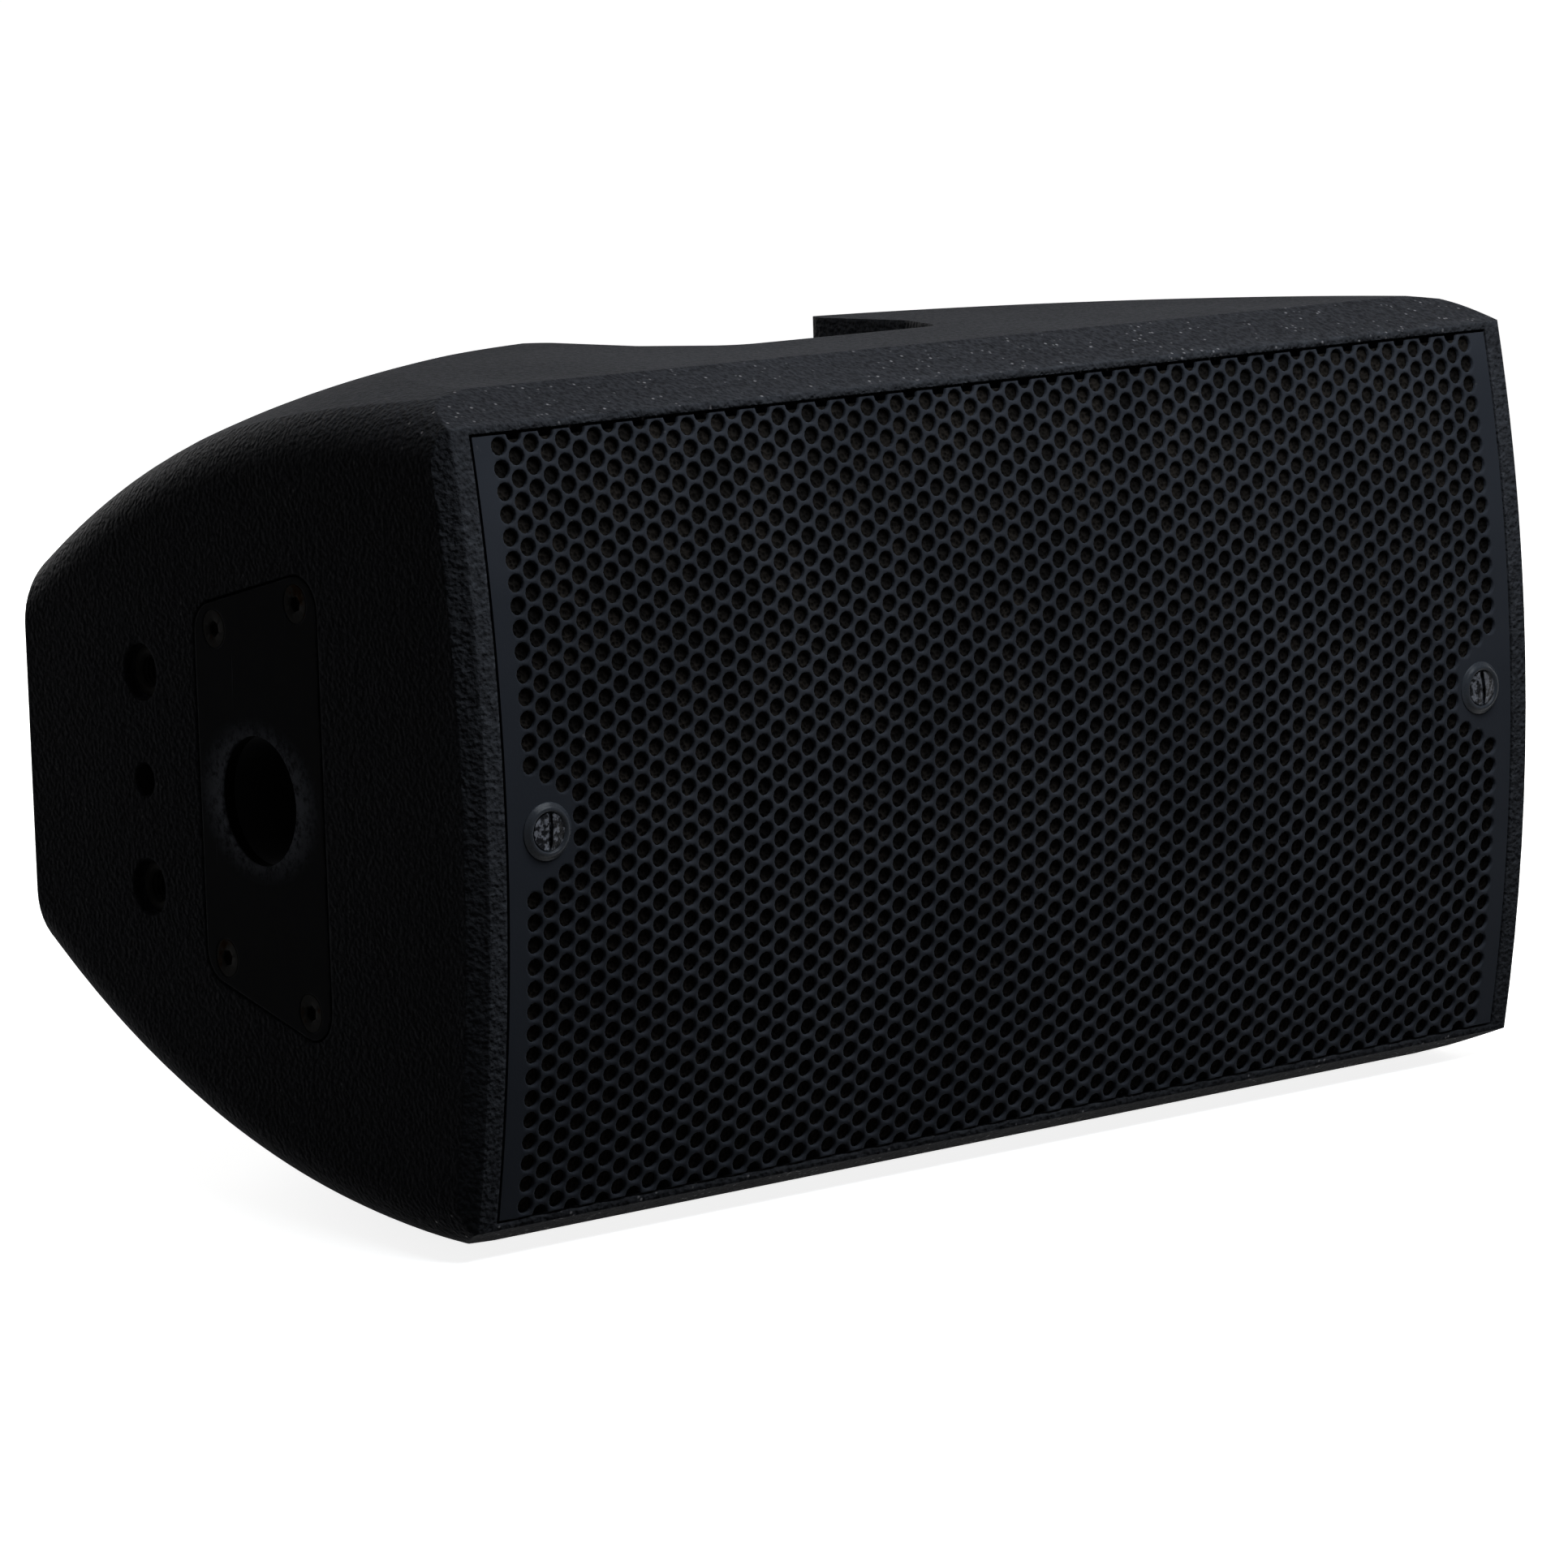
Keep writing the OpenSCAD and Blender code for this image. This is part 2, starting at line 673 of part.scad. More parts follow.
module pole_plate_screws() {
    color("#6d5a4c") place() at_plate_screws(half_l) difference() {
        union() {
            cylinder(r1 = plate_screw_head_r, r2 = plate_screw_r, h = 3);
            cylinder(r = plate_screw_r, h = plate_screw_l);
        }
        translate([0, 0, -1]) cylinder(r = 2.3, h = 3, $fn = 6);
    }
}

module pole_tube() {
    color("#17181a") place() translate([0, pole_y, 0]) from_left(plate_floor) difference() {
        union() {
            cylinder(d = pole_d + 2 * pole_wall, h = pole_depth);
            cylinder(r = tube_flange_r, h = tube_flange_t);
        }
        translate([0, 0, -1]) cylinder(d = pole_d, h = pole_depth - pole_wall + 1);
    }
}

module rigging_inserts() {
    color("#77736a") place() at_rig_points(half_l - rig_recess) difference() {
        cylinder(d = rig_od, h = rig_l);
        translate([0, 0, -1]) cylinder(d = rig_core_d, h = rig_l - 3);
        translate([0, 0, -0.01]) cylinder(d1 = rig_core_d + 2, d2 = rig_core_d, h = 1);
    }
}

module at_driver_screws(y) {
    for (i = [0:driver_screws_n - 1])
        rotate([0, (i + 0.5) * 360 / driver_screws_n, 0]) translate([driver_pcd / 2, 0, 0])
            backwards(y) children();
}

module driver_basket() {
    shelf = spider_y - baffle_y;
    rear_r = magnet_r + 1;
    color("#303236") place() backwards(baffle_y) difference() {
        rotate_extrude($fn = fine_fn) polygon([
            [cone_rim_r + 6, -flange_t], [driver_d / 2, -flange_t], [driver_d / 2, 0],
            [cutout_d / 2 - 1, 0], [rear_r, basket_depth - 10], [rear_r, basket_depth],
            [gap_out_r + 6, basket_depth], [gap_out_r + 6, basket_depth - 6],
            [rear_r - 10, basket_depth - 6], [rear_r - 10, shelf + 1],
            [rear_r - 4, shelf + 1], [cone_rim_r + 6, 0]
        ]);
        for (i = [0:5]) rotate([0, 0, 60 * i]) translate([rear_r - 2, -window_w / 2, 4])
            cube([window_reach, window_w, shelf - 9]);
        for (i = [0:driver_screws_n - 1]) rotate([0, 0, (i + 0.5) * 360 / driver_screws_n])
            translate([driver_pcd / 2, 0, -flange_t - 1]) cylinder(r = screw_r + 0.2, h = flange_t + 2);
    }
}

module driver_gasket() {
    color("#191919") place() backwards(rim_y - lip_t - 2) difference() {
        cylinder(r = roll_c + roll_r + lip_w, h = 2, $fn = fine_fn);
        translate([0, 0, -1]) cylinder(r = roll_c + roll_r + 0.3, h = 4, $fn = fine_fn);
    }
}

// Half roll with a flat lip on each side
module cone_surround() {
    color("#1c1c1d") place() backwards(rim_y) rotate_extrude($fn = fine_fn) {
        difference() {
            translate([roll_c, 0]) circle(roll_r);
            translate([roll_c, 0]) circle(roll_r - lip_t);
            translate([roll_c - 2 * roll_r, 0]) square(4 * roll_r);
        }
        translate([roll_c - roll_r - lip_w, -lip_t]) square([lip_w + 0.9 * lip_t, lip_t]);
        translate([roll_c + roll_r - 0.9 * lip_t, -lip_t]) square([lip_w + 0.9 * lip_t, lip_t]);
    }
}

module cone() {
    rim = roll_c - roll_r;
    drop = neck_y - rim_y;
    color("#141414") place() backwards(rim_y) rotate_extrude($fn = fine_fn) polygon([
        [rim, 0], [rim, cone_t], [rim - lip_w, cone_t], [former_r, drop + 1.3 * cone_t],
        [former_r, drop - 0.3 * cone_t], [rim - lip_w + cone_t / 2, 0]
    ]);
}

module voice_coil() {
    color("#a5672f") place() backwards(neck_y - 3) difference() {
        union() {
            cylinder(r = former_r, h = basket_back + plate_steel_t + 4 - neck_y + 3);
            translate([0, 0, basket_back - neck_y + 2])
                cylinder(r = former_r + winding_t, h = plate_steel_t + 4);
        }
        translate([0, 0, -1]) cylinder(r = former_r - 0.5, h = far / 4);
    }
}

// Corrugated disc between the former and the basket
module spider() {
    outer = magnet_r - 5;
    ribs = 4;
    steps = 48;
    start = former_r;
    wave = [for (i = [0:steps]) [start + (outer - start) * i / steps, 1.6 * sin(360 * ribs * i / steps)]];
    color("#b58a3c") place() backwards(spider_y) rotate_extrude($fn = fine_fn / 2)
        polygon(concat(wave, [for (i = [steps:-1:0]) wave[i] + [0, 0.8]]));
}

module steel_ring(outer, inner, h) {
    difference() {
        cylinder(r = outer, h = h, $fn = fine_fn / 2);
        translate([0, 0, -1]) cylinder(r = inner, h = h + 2, $fn = fine_fn / 2);
    }
}

module top_plate() {
    color("#4d5054") place() backwards(basket_back) steel_ring(magnet_r - 5, gap_out_r, plate_steel_t);
}

module magnet() {
    color("#2c2c2e") place() backwards(magnet_y) steel_ring(magnet_r, gap_out_r + 8, magnet_t);
}

module pole_piece() {
    color("#4d5054") place() difference() {
        union() {
            backwards(backplate_y) cylinder(r = magnet_r - 5, h = plate_steel_t, $fn = fine_fn / 2);
            backwards(pole_front)
                cylinder(r = gap_in_r, h = backplate_y - pole_front + 1, $fn = fine_fn / 2);
        }
        backwards(pole_front - 1) cylinder(d = throat_d, h = hf_y - pole_front + 2);
    }
}

module driver_screws() {
    color("#1a1a1b") place() at_driver_screws(driver_face - 3) difference() {
        union() {
            cylinder(r = 4.2, h = 3);
            cylinder(r = screw_r, h = flange_t + baffle_t + 8);
        }
        translate([0, 0, -1]) cylinder(r = 2.2, h = 3, $fn = 6);
    }
}

module tee_nuts() {
    color("#8d8f92") place() at_driver_screws(baffle_back) difference() {
        cylinder(r = 6, h = 4);
        translate([0, 0, -1]) cylinder(r = screw_r + slip, h = 6);
    }
}

// Flare from a round throat to a square mouth, as sections joined two by two
module horn_section(s, grow) {
    c = s[1] - s[2];
    for (x = [-c, c], z = [-c, c])
        translate([x, 0, z]) backwards(s[0]) cylinder(r = s[2] + grow, h = 0.01, $fn = 32);
}

module horn_flare(grow) {
    for (i = [0:len(horn_sections) - 2]) hull() {
        horn_section(horn_sections[i], grow);
        horn_section(horn_sections[i + 1], grow);
    }
}

module horn() {
    tube_r = throat_d / 2 - slip;
    bore_r = throat_d / 2 - 3;
    color("#1a1a1c") place() difference() {
        union() {
            horn_flare(horn_wall);
            backwards(pole_front - 8) cylinder(r = gap_in_r - 5, h = 8);
            backwards(pole_front - 1) cylinder(r = tube_r, h = hf_y - pole_front);
        }
        horn_flare(0);
        backwards(pole_front - 6.5) cylinder(r = bore_r, h = hf_y - pole_front + 10);
        translate([0, horn_y - 0.02, 0]) cube([far, 0.1, far], center = true);
    }
}

module hf_housing() {
    color("#2f3134") place() backwards(hf_y) difference() {
        union() {
            cylinder(r = hf_r - hf_neck_in, h = hf_neck_l + 2);
            translate([0, 0, hf_neck_l]) cylinder(r = hf_r, h = hf_depth - hf_neck_l, $fn = fine_fn / 2);
        }
        translate([0, 0, -1]) cylinder(d1 = throat_d - 6, d2 = throat_d, h = hf_depth);
        translate([0, 0, hf_depth - hf_seat_depth])
            cylinder(r = hf_r - hf_seat_in, h = hf_seat_depth + 1, $fn = fine_fn / 2);
    }
}

// Thin dome with a flat rim clamped in the housing
module hf_diaphragm() {
    rim_r = hf_r - hf_seat_in - slip;
    dome_in = rim_r - hf_roll_w;
    color("#c9cbce") place() backwards(hf_y + hf_depth - hf_seat_depth) rotate_extrude() {
        translate([dome_in - 1, 0]) square([rim_r - dome_in + 1, hf_film_t]);
        intersection() {
            difference() {
                translate([0, -dome_in]) circle(dome_in * sqrt(2));
                translate([0, -dome_in]) circle(dome_in * sqrt(2) - hf_film_t);
            }
            square([dome_in, dome_in]);
        }
    }
}

module hf_cover() {
    color("#232527") place() backwards(hf_y + hf_depth) rotate_extrude()
        polygon([
            [0, hf_film_t], [hf_r - hf_spigot_in, hf_film_t], [hf_r - hf_spigot_in, 0], [hf_r, 0],
            [hf_r, hf_cover_edge[1]], [hf_r - hf_cover_edge[0], hf_cover_t], [0, hf_cover_t]
        ]);
}

module crossover_board() {
    color("#2f4a33") place() difference() {
        translate([board_x - board_t, board_y, -board_h / 2]) cube([board_t, board_w, board_h]);
        at_board_posts(board_x + 1) cylinder(r = 1.7, h = board_t + 2);
    }
}

module at_board_posts(x) {
    for (y = [board_y + board_edge, board_y + board_w - board_edge], s = [-1, 1])
        translate([x, y, s * (board_h / 2 - board_edge)]) rotate([0, -90, 0]) children();
}

// Parts on the board stand out from its inner face
module on_board(y, z) {
    translate([board_x - board_t, board_y + y, z]) rotate([0, -90, 0]) children();
}

module crossover_coils() {
    color("#b5652d") place() {
        on_board(board_w / 2 - 10, board_h / 2 - coil_edge)
            steel_ring(bass_coil[0], bass_coil[1], bass_coil[2]);
        on_board(board_w / 2 - 14, coil_edge - board_h / 2)
            steel_ring(treble_coil[0], treble_coil[1], treble_coil[2]);
    }
}

module crossover_capacitors() {
    color("#5d2530") place() for (i = [0:2])
        on_board(board_w - 10, (i - 1) * capacitor_pitch) cylinder(d = capacitor_d, h = capacitor_l);
}

module crossover_resistors() {
    color("#d8d4c8") place() for (i = [0, 1])
        on_board(8 + i * (board_w / 2 - 7), 3 - board_h / 2) cube(resistor);
}

module board_posts() {
    color("#8d8f92") place() at_board_posts(half_l - wall)
        cylinder(r = board_post_r, h = board_stand);
}

module at_sockets(y) {
    for (s = [-1, 1]) translate([s * socket_pitch / 2, 0, 0]) backwards(y) children();
}

module at_socket_screws(y) {
    at_sockets(y) for (s = [-1, 1])
        translate([s * socket_screw_place[0], s * socket_screw_place[1], 0]) children();
}

// Round panel socket: flange on the recess floor, barrel behind it, keyed post in the mouth
module panel_socket(s) {
    mouth_r = socket_d / 2 - socket_wall;
    color("#16181c") place() translate([s * socket_pitch / 2, 0, 0]) backwards(well_y - socket_depth)
    difference() {
        union() {
            cylinder(d = socket_d, h = socket_depth);
            translate([0, 0, socket_depth]) linear_extrude(socket_flange_t) difference() {
                polygon(rounded(box_outline(socket_flange[0], socket_flange[1]), socket_flange_r));
                for (k = [-1, 1]) translate(k * socket_screw_place) circle(socket_screw_r + slip);
            }
        }
        translate([0, 0, socket_end]) difference() {
            cylinder(r = mouth_r, h = far / 4);
            cylinder(r = socket_post_r, h = socket_post_l);
        }
    }
}

module socket_in() {
    panel_socket(-1);
}

module socket_link() {
    panel_socket(1);
}

module socket_screws() {
    color("#97989a") place() at_socket_screws(well_y - well_floor - 2) {
        cylinder(r = socket_screw_r, h = well_floor + 2 + socket_flange_t);
        translate([0, 0, well_floor + 2 + socket_flange_t]) cylinder(r1 = 2.9, r2 = 1.8, h = 1.6);
    }
}

module damping_mat() {
    color("#4a4a48") place() pushed_back(cab_d - wall - mat_t, cab_d - wall) difference() {
        square([2 * (half_l - mat_inset), mat_h], center = true);
        square([well_w + 4 * well_floor, well_h + 4 * well_floor], center = true);
    }
}

cabinet_shell();
front_baffle();
reflex_ports();
grille();
grille_foam();
grille_posts();
cup_washers();
grille_screws();
pole_plate();
pole_plate_screws();
pole_tube();
rigging_inserts();
driver_basket();
driver_gasket();
cone_surround();
cone();
voice_coil();
spider();
top_plate();
magnet();
pole_piece();
driver_screws();
tee_nuts();
horn();
hf_housing();
hf_diaphragm();
hf_cover();
crossover_board();
crossover_coils();
crossover_capacitors();
crossover_resistors();
board_posts();
socket_in();
socket_link();
socket_screws();
damping_mat();
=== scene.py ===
import math
import random

import bmesh
import bpy
from mathutils import Matrix, Vector


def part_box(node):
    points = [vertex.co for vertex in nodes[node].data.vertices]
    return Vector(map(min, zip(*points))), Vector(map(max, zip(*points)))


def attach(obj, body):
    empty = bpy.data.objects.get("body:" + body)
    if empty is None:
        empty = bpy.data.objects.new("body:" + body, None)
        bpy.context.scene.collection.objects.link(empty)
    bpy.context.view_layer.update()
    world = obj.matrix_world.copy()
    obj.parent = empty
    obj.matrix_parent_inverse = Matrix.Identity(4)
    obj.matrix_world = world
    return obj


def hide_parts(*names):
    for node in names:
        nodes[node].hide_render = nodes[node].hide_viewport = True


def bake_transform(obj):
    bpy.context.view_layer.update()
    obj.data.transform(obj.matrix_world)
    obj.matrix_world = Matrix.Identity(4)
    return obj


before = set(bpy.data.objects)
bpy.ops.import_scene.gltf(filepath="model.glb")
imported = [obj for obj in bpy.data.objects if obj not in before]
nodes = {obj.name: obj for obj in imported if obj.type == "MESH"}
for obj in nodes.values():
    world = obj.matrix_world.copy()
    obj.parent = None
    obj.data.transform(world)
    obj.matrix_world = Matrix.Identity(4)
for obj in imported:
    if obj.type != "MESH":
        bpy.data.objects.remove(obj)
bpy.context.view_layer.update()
scene = bpy.context.scene
scene.view_settings.view_transform = "Standard"
mm = 0.001
print("frame loaded,", len(nodes), "solids")

# the cabinet's own frame, in millimetres: x along it, y backwards from the grille, z across
cabinet = {
    "draft": 1.6,  # degrees; it lies on one drafted side
    "shiftBack": -108.8354,
    "lift": 115.7928,
    "halfLength": 196.0,
    "bowRadius": 553.6,
    "poleBack": 100.0,
    "rigBack": 157.0,
    "rigUp": 30.5,
}
place = (
    Matrix.Translation((0, cabinet["shiftBack"] * mm, cabinet["lift"] * mm))
    @ Matrix.Rotation(math.radians(-cabinet["draft"]), 4, "X")
    @ Matrix.Scale(mm, 4)
)


# shading kit
class Sock:
    # one output socket, so that shader maths reads as plain Python
    def __init__(self, finish, link):
        self.finish = finish
        self.link = link

    def maths(self, operation, other=0.0, swapped=False):
        first, second = (other, self) if swapped else (self, other)
        return self.finish.node("ShaderNodeMath", {"operation": operation}, {0: first, 1: second})

    def __add__(self, other):
        return self.maths("ADD", other)

    def __sub__(self, other):
        return self.maths("SUBTRACT", other)

    def __rsub__(self, other):
        return self.maths("SUBTRACT", other, True)

    def __mul__(self, other):
        return self.maths("MULTIPLY", other)

    def __truediv__(self, other):
        return self.maths("DIVIDE", other)

    def __rtruediv__(self, other):
        return self.maths("DIVIDE", other, True)

    def __pow__(self, other):
        return self.maths("POWER", other)

    __radd__ = __add__
    __rmul__ = __mul__

    def size(self):
        return self.maths("ABSOLUTE")

    def most(self, other):
        return self.maths("MAXIMUM", other)

    def least(self, other):
        return self.maths("MINIMUM", other)

    def ramp(self, low, high):
        sockets = {"Value": self, "From Min": low, "From Max": high}
        return self.finish.node("ShaderNodeMapRange", {"interpolation_type": "SMOOTHSTEP"}, sockets)


class Finish:
    # the nodes of one material, or of the world; every node comes from node()
    socketNames = {
        "colour": "Base Color",
        "roughness": "Roughness",
        "metallic": "Metallic",
        "normal": "Normal",
        "gloss": "Specular IOR Level",
        "coat": "Coat Weight",
        "coatRough": "Coat Roughness",
    }

    def __init__(self, name, world=None):
        self.owner = world or bpy.data.materials.new(name)
        self.owner.use_nodes = True
        self.tree = self.owner.node_tree
        self.tree.nodes.clear()
        self.spot = None if world else self.node("ShaderNodeTexCoord", out="Object")

    def node(self, kind, settings=None, sockets=None, out=0):
        made = self.tree.nodes.new(kind)
        for key, value in (settings or {}).items():
            setattr(made, key, value)
        for key, value in (sockets or {}).items():
            if isinstance(value, Sock):
                self.tree.links.new(value.link, made.inputs[key])
            else:
                made.inputs[key].default_value = value
        return Sock(self, made.outputs[out]) if len(made.outputs) else None

    def noise(self, scale, detail=2.0, rough=0.5, stretch=None):
        spot = self.spot
        if stretch:
            spot = self.node("ShaderNodeMapping", None, {"Vector": spot, "Scale": stretch})
        sockets = {"Vector": spot, "Scale": scale, "Detail": detail, "Roughness": rough}
        return self.node("ShaderNodeTexNoise", None, sockets)

    def patches(self, low, high, **grain):
        # noise cut into patches with soft borders
        return self.noise(**grain).ramp(low, high)

    def cells(self, scale, feature="F1"):
        sockets = {"Vector": self.spot, "Scale": scale}
        return self.node("ShaderNodeTexVoronoi", {"feature": feature}, sockets, "Distance")

    def along(self, axis):
        return self.node("ShaderNodeSeparateXYZ", None, {0: self.spot}, axis)

    def mix(self, mask, first, second):
        # colours through Mix, never through Math
        def rgba(colour):
            return colour if isinstance(colour, Sock) else (*colour, 1.0)

        sockets = {0: mask, 6: rgba(first), 7: rgba(second)}
        return self.node("ShaderNodeMix", {"data_type": "RGBA"}, sockets, 2)

    def bump(self, height, strength, reach, normal=None):
        sockets = {"Height": height, "Strength": strength, "Distance": reach}
        if normal:
            sockets["Normal"] = normal
        return self.node("ShaderNodeBump", None, sockets)

    def softEdges(self, radius):
        # the normal rounded over every edge, and a mask that grows where the surface turns within the radius
        turned = self.node("ShaderNodeBevel", {"samples": 6}, {"Radius": radius})
        flat = self.node("ShaderNodeNewGeometry", out="Normal")
        sockets = {0: turned, 1: flat}
        same = self.node("ShaderNodeVectorMath", {"operation": "DOT_PRODUCT"}, sockets, "Value")
        return turned, 1.0 - same

    def surface(self, **sockets):
        values = {self.socketNames[key]: value for key, value in sockets.items()}
        shader = self.node("ShaderNodeBsdfPrincipled", None, values)
        self.node("ShaderNodeOutputMaterial", None, {"Surface": shader})
        return self.owner


# cabinet paint; scales are per metre, other lengths in metres, and a bump is its strength and its reach
paint = {
    "dark": (0.0105, 0.0107, 0.012),
    "light": (0.0165, 0.017, 0.019),
    "grain": (0.033, 0.034, 0.038),
    "worn": (0.05, 0.053, 0.06),
    # painted glints: the pale colour of the bright specks, standing in for the lamp glinting on the bevels
    "speckGlint": (0.16, 0.155, 0.165),
    "rough": 0.62,
    "roughLess": 0.1,
    "gloss": 0.0022,
    "peel": {"scale": 560.0, "detail": 3.0, "rough": 0.55},
    "peelHeight": 0.9,
    "pebble": 820.0,
    "pebbleHeight": 0.55,
    "bump": (1.0, 0.0011),
    "edgeRadius": 0.0016,
    "edgeTurn": (0.004, 0.06),
    "frontRim": (0.004, 0.017),  # how far back the rubbed rim and the bevels fade out
    "bevelBack": (0.026, 0.034),
    "bevelAcross": (0.1, 0.106),
    "broad": {"scale": 9.0, "detail": 3.0},
    "broadTone": (0.3, 0.7),
    "grainTone": (0.4, 0.95),
    "wear": {"scale": 130.0, "detail": 4.0, "rough": 0.65, "low": 0.42, "high": 0.66},
    "streak": {"scale": 900.0, "rough": 0.6, "stretch": (0.35, 0.35, 1.0), "low": 0.35, "high": 0.7},
    "scratch": {"scale": 26.0, "rough": 0.6, "stretch": (1.0, 0.6, 14.0), "low": 0.72, "high": 0.76},
    "nick": {"scale": 30.0, "rough": 0.6, "stretch": (1.0, 9.0, 0.8), "low": 0.73, "high": 0.77},
    "scuffed": {"scale": 14.0, "detail": 1.0, "low": 0.48, "high": 0.6},
    "speckCells": 430.0,
    "speckSize": (0.08, 0.26),
    "speckGroups": {"scale": 160.0, "detail": 1.0},
    "speckRare": (0.64, 0.72),
    "speckGain": 0.13,  # how many more there are on the bevels, and how faint they are elsewhere
    "speckElsewhere": 0.15,
    "speckCoat": 0.35,
    "coatRough": 0.35,
    "shares": {"grain": 0.75, "wear": 0.6, "scuff": 0.45, "rim": 0.65, "speck": 0.8},
}


def texturedPaint():
    # sprayed and pebbled, paler on its worn edges and front rim, with scuffs, and bright specks painted on
    # the bevels as glints
    made = Finish("texturedPaint")
    share = paint["shares"]
    rounded, turning = made.softEdges(paint["edgeRadius"])
    peel = made.noise(**paint["peel"]) * paint["peelHeight"]
    height = peel + made.cells(paint["pebble"], "SMOOTH_F1") * paint["pebbleHeight"]
    broad = made.noise(**paint["broad"])
    slope = math.radians(cabinet["draft"])
    fore = made.along("Y") - cabinet["shiftBack"] * mm
    rise = made.along("Z") - cabinet["lift"] * mm
    back = fore * math.cos(slope) - rise * math.sin(slope)
    across = (fore * math.sin(slope) + rise * math.cos(slope)).size()
    front = 1.0 - back.ramp(*paint["frontRim"])
    bevelled = (1.0 - back.ramp(*paint["bevelBack"])) * across.ramp(*paint["bevelAcross"])
    worn = turning.ramp(*paint["edgeTurn"]) * made.patches(**paint["wear"])
    streak = made.patches(**paint["streak"])
    scuff = (made.patches(**paint["scratch"]) + made.patches(**paint["nick"])).least(1.0)
    scuff = scuff * made.patches(**paint["scuffed"])
    # the bright specks are painted glints, gathered on the bevels where the lamp glints and faint elsewhere
    groups = made.noise(**paint["speckGroups"]) + bevelled * paint["speckGain"]
    faint = paint["speckElsewhere"]
    speck = 1.0 - made.cells(paint["speckCells"]).ramp(*paint["speckSize"])
    speck = speck * groups.ramp(*paint["speckRare"]) * (faint + bevelled * (1.0 - faint))
    rubbed = (worn * share["wear"] + scuff * share["scuff"] + front * streak * share["rim"]).least(1.0)
    colour = made.mix(broad.ramp(*paint["broadTone"]), paint["dark"], paint["light"])
    colour = made.mix(height.ramp(*paint["grainTone"]) * share["grain"], colour, paint["grain"])
    colour = made.mix(rubbed, colour, paint["worn"])
    # painted glints: the specks are lightened to a pale colour
    colour = made.mix(speck * share["speck"], colour, paint["speckGlint"])
    return made.surface(
        colour=colour,
        roughness=paint["rough"] - broad * paint["roughLess"] - worn * paint["roughLess"],
        gloss=paint["gloss"],
        coat=speck * paint["speckCoat"],
        coatRough=paint["coatRough"],
        normal=made.bump(height, *paint["bump"], rounded),
    )


enamel = {
    "face": (0.021, 0.0235, 0.029),
    "light": (0.03, 0.033, 0.04),
    "chip": (0.08, 0.08, 0.085),
    "rough": 0.5,
    "roughGrain": 0.14,
    "gloss": 0.015,
    "fine": 1400.0,
    "broad": {"scale": 16.0, "detail": 3.0, "low": 0.3, "high": 0.7},
    "chips": {"scale": 170.0, "detail": 3.0, "rough": 0.6, "low": 0.71, "high": 0.76},
    "chipShare": 0.5,
    "bump": (0.3, 0.0001),
}


def grilleEnamel():
    # smooth dark enamel with a few chips
    made = Finish("grilleEnamel")
    fine = made.noise(enamel["fine"])
    colour = made.mix(made.patches(**enamel["broad"]), enamel["face"], enamel["light"])
    colour = made.mix(made.patches(**enamel["chips"]) * enamel["chipShare"], colour, enamel["chip"])
    return made.surface(
        colour=colour,
        roughness=enamel["rough"] + fine * enamel["roughGrain"],
        gloss=enamel["gloss"],
        normal=made.bump(fine, *enamel["bump"]),
    )


foam = {
    "dark": (0.005, 0.0047, 0.0044),
    "light": (0.0155, 0.0133, 0.0114),
    "horn": 50.0,  # half the side of the horn's mouth and the width of its band, in millimetres
    "band": 7.0,
    "bandShare": 0.8,
    "cells": 800.0,
    "cellTone": (0.1, 0.6),
    "broad": {"scale": 60.0, "detail": 3.0, "low": 0.3, "high": 0.7},
    "rough": 0.95,
    "gloss": 0.015,
    "bump": (0.9, 0.0008),
}


def foamCell():
    # open-cell foam, darker in a square band where the horn's mouth stands behind it
    made = Finish("foamCell")
    cell = made.cells(foam["cells"])
    away = made.along("X").size().most((made.along("Z") - cabinet["lift"] * mm).size())
    band = 1.0 - ((away - foam["horn"] * mm).size() / (foam["band"] * mm)).least(1.0)
    light = cell.ramp(*foam["cellTone"]) * made.patches(**foam["broad"]) * (1.0 - band * foam["bandShare"])
    return made.surface(
        colour=made.mix(light, foam["dark"], foam["light"]),
        roughness=foam["rough"],
        gloss=foam["gloss"],
        normal=made.bump(cell, *foam["bump"]),
    )


nickel = {
    "bright": (0.055, 0.059, 0.069),
    "dull": (0.0042, 0.0045, 0.0053),
    "grime": (0.005, 0.005, 0.005),
    "dents": {"scale": 900.0, "detail": 3.0, "rough": 0.6},
    "stain": {"scale": 640.0, "detail": 4.0, "rough": 0.6, "low": 0.46, "high": 0.6},
    "dirt": {"scale": 420.0, "low": 0.6, "high": 0.75},
    "dirtShare": 0.7,
    "rough": 0.24,
    "roughDents": 0.2,
    "bump": (0.8, 0.0006),
}


def wornNickel():
    # dented screw heads that glint where a dent faces the lamp
    made = Finish("headNickel")
    dents = made.noise(**nickel["dents"])
    colour = made.mix(made.patches(**nickel["stain"]), nickel["dull"], nickel["bright"])
    colour = made.mix(made.patches(**nickel["dirt"]) * nickel["dirtShare"], colour, nickel["grime"])
    return made.surface(
        colour=colour,
        roughness=nickel["rough"] + dents * nickel["roughDents"],
        metallic=1.0,
        normal=made.bump(dents, *nickel["bump"]),
    )


cup = {
    "face": (0.0185, 0.022, 0.0275),
    "light": (0.025, 0.029, 0.036),
    "bare": (0.06, 0.065, 0.075),
    "edgeRadius": 0.0005,
    "edgeTurn": (0.01, 0.12),
    "fine": 1400.0,
    "rubbed": {"scale": 500.0, "detail": 3.0, "low": 0.5, "high": 0.7},
    "broad": {"scale": 90.0, "detail": 3.0, "low": 0.3, "high": 0.7},
    "rubbedShare": 0.5,
    "rough": 0.22,
    "roughGrain": 0.12,
    "gloss": 0.075,
    "bump": (0.3, 0.0001),
}


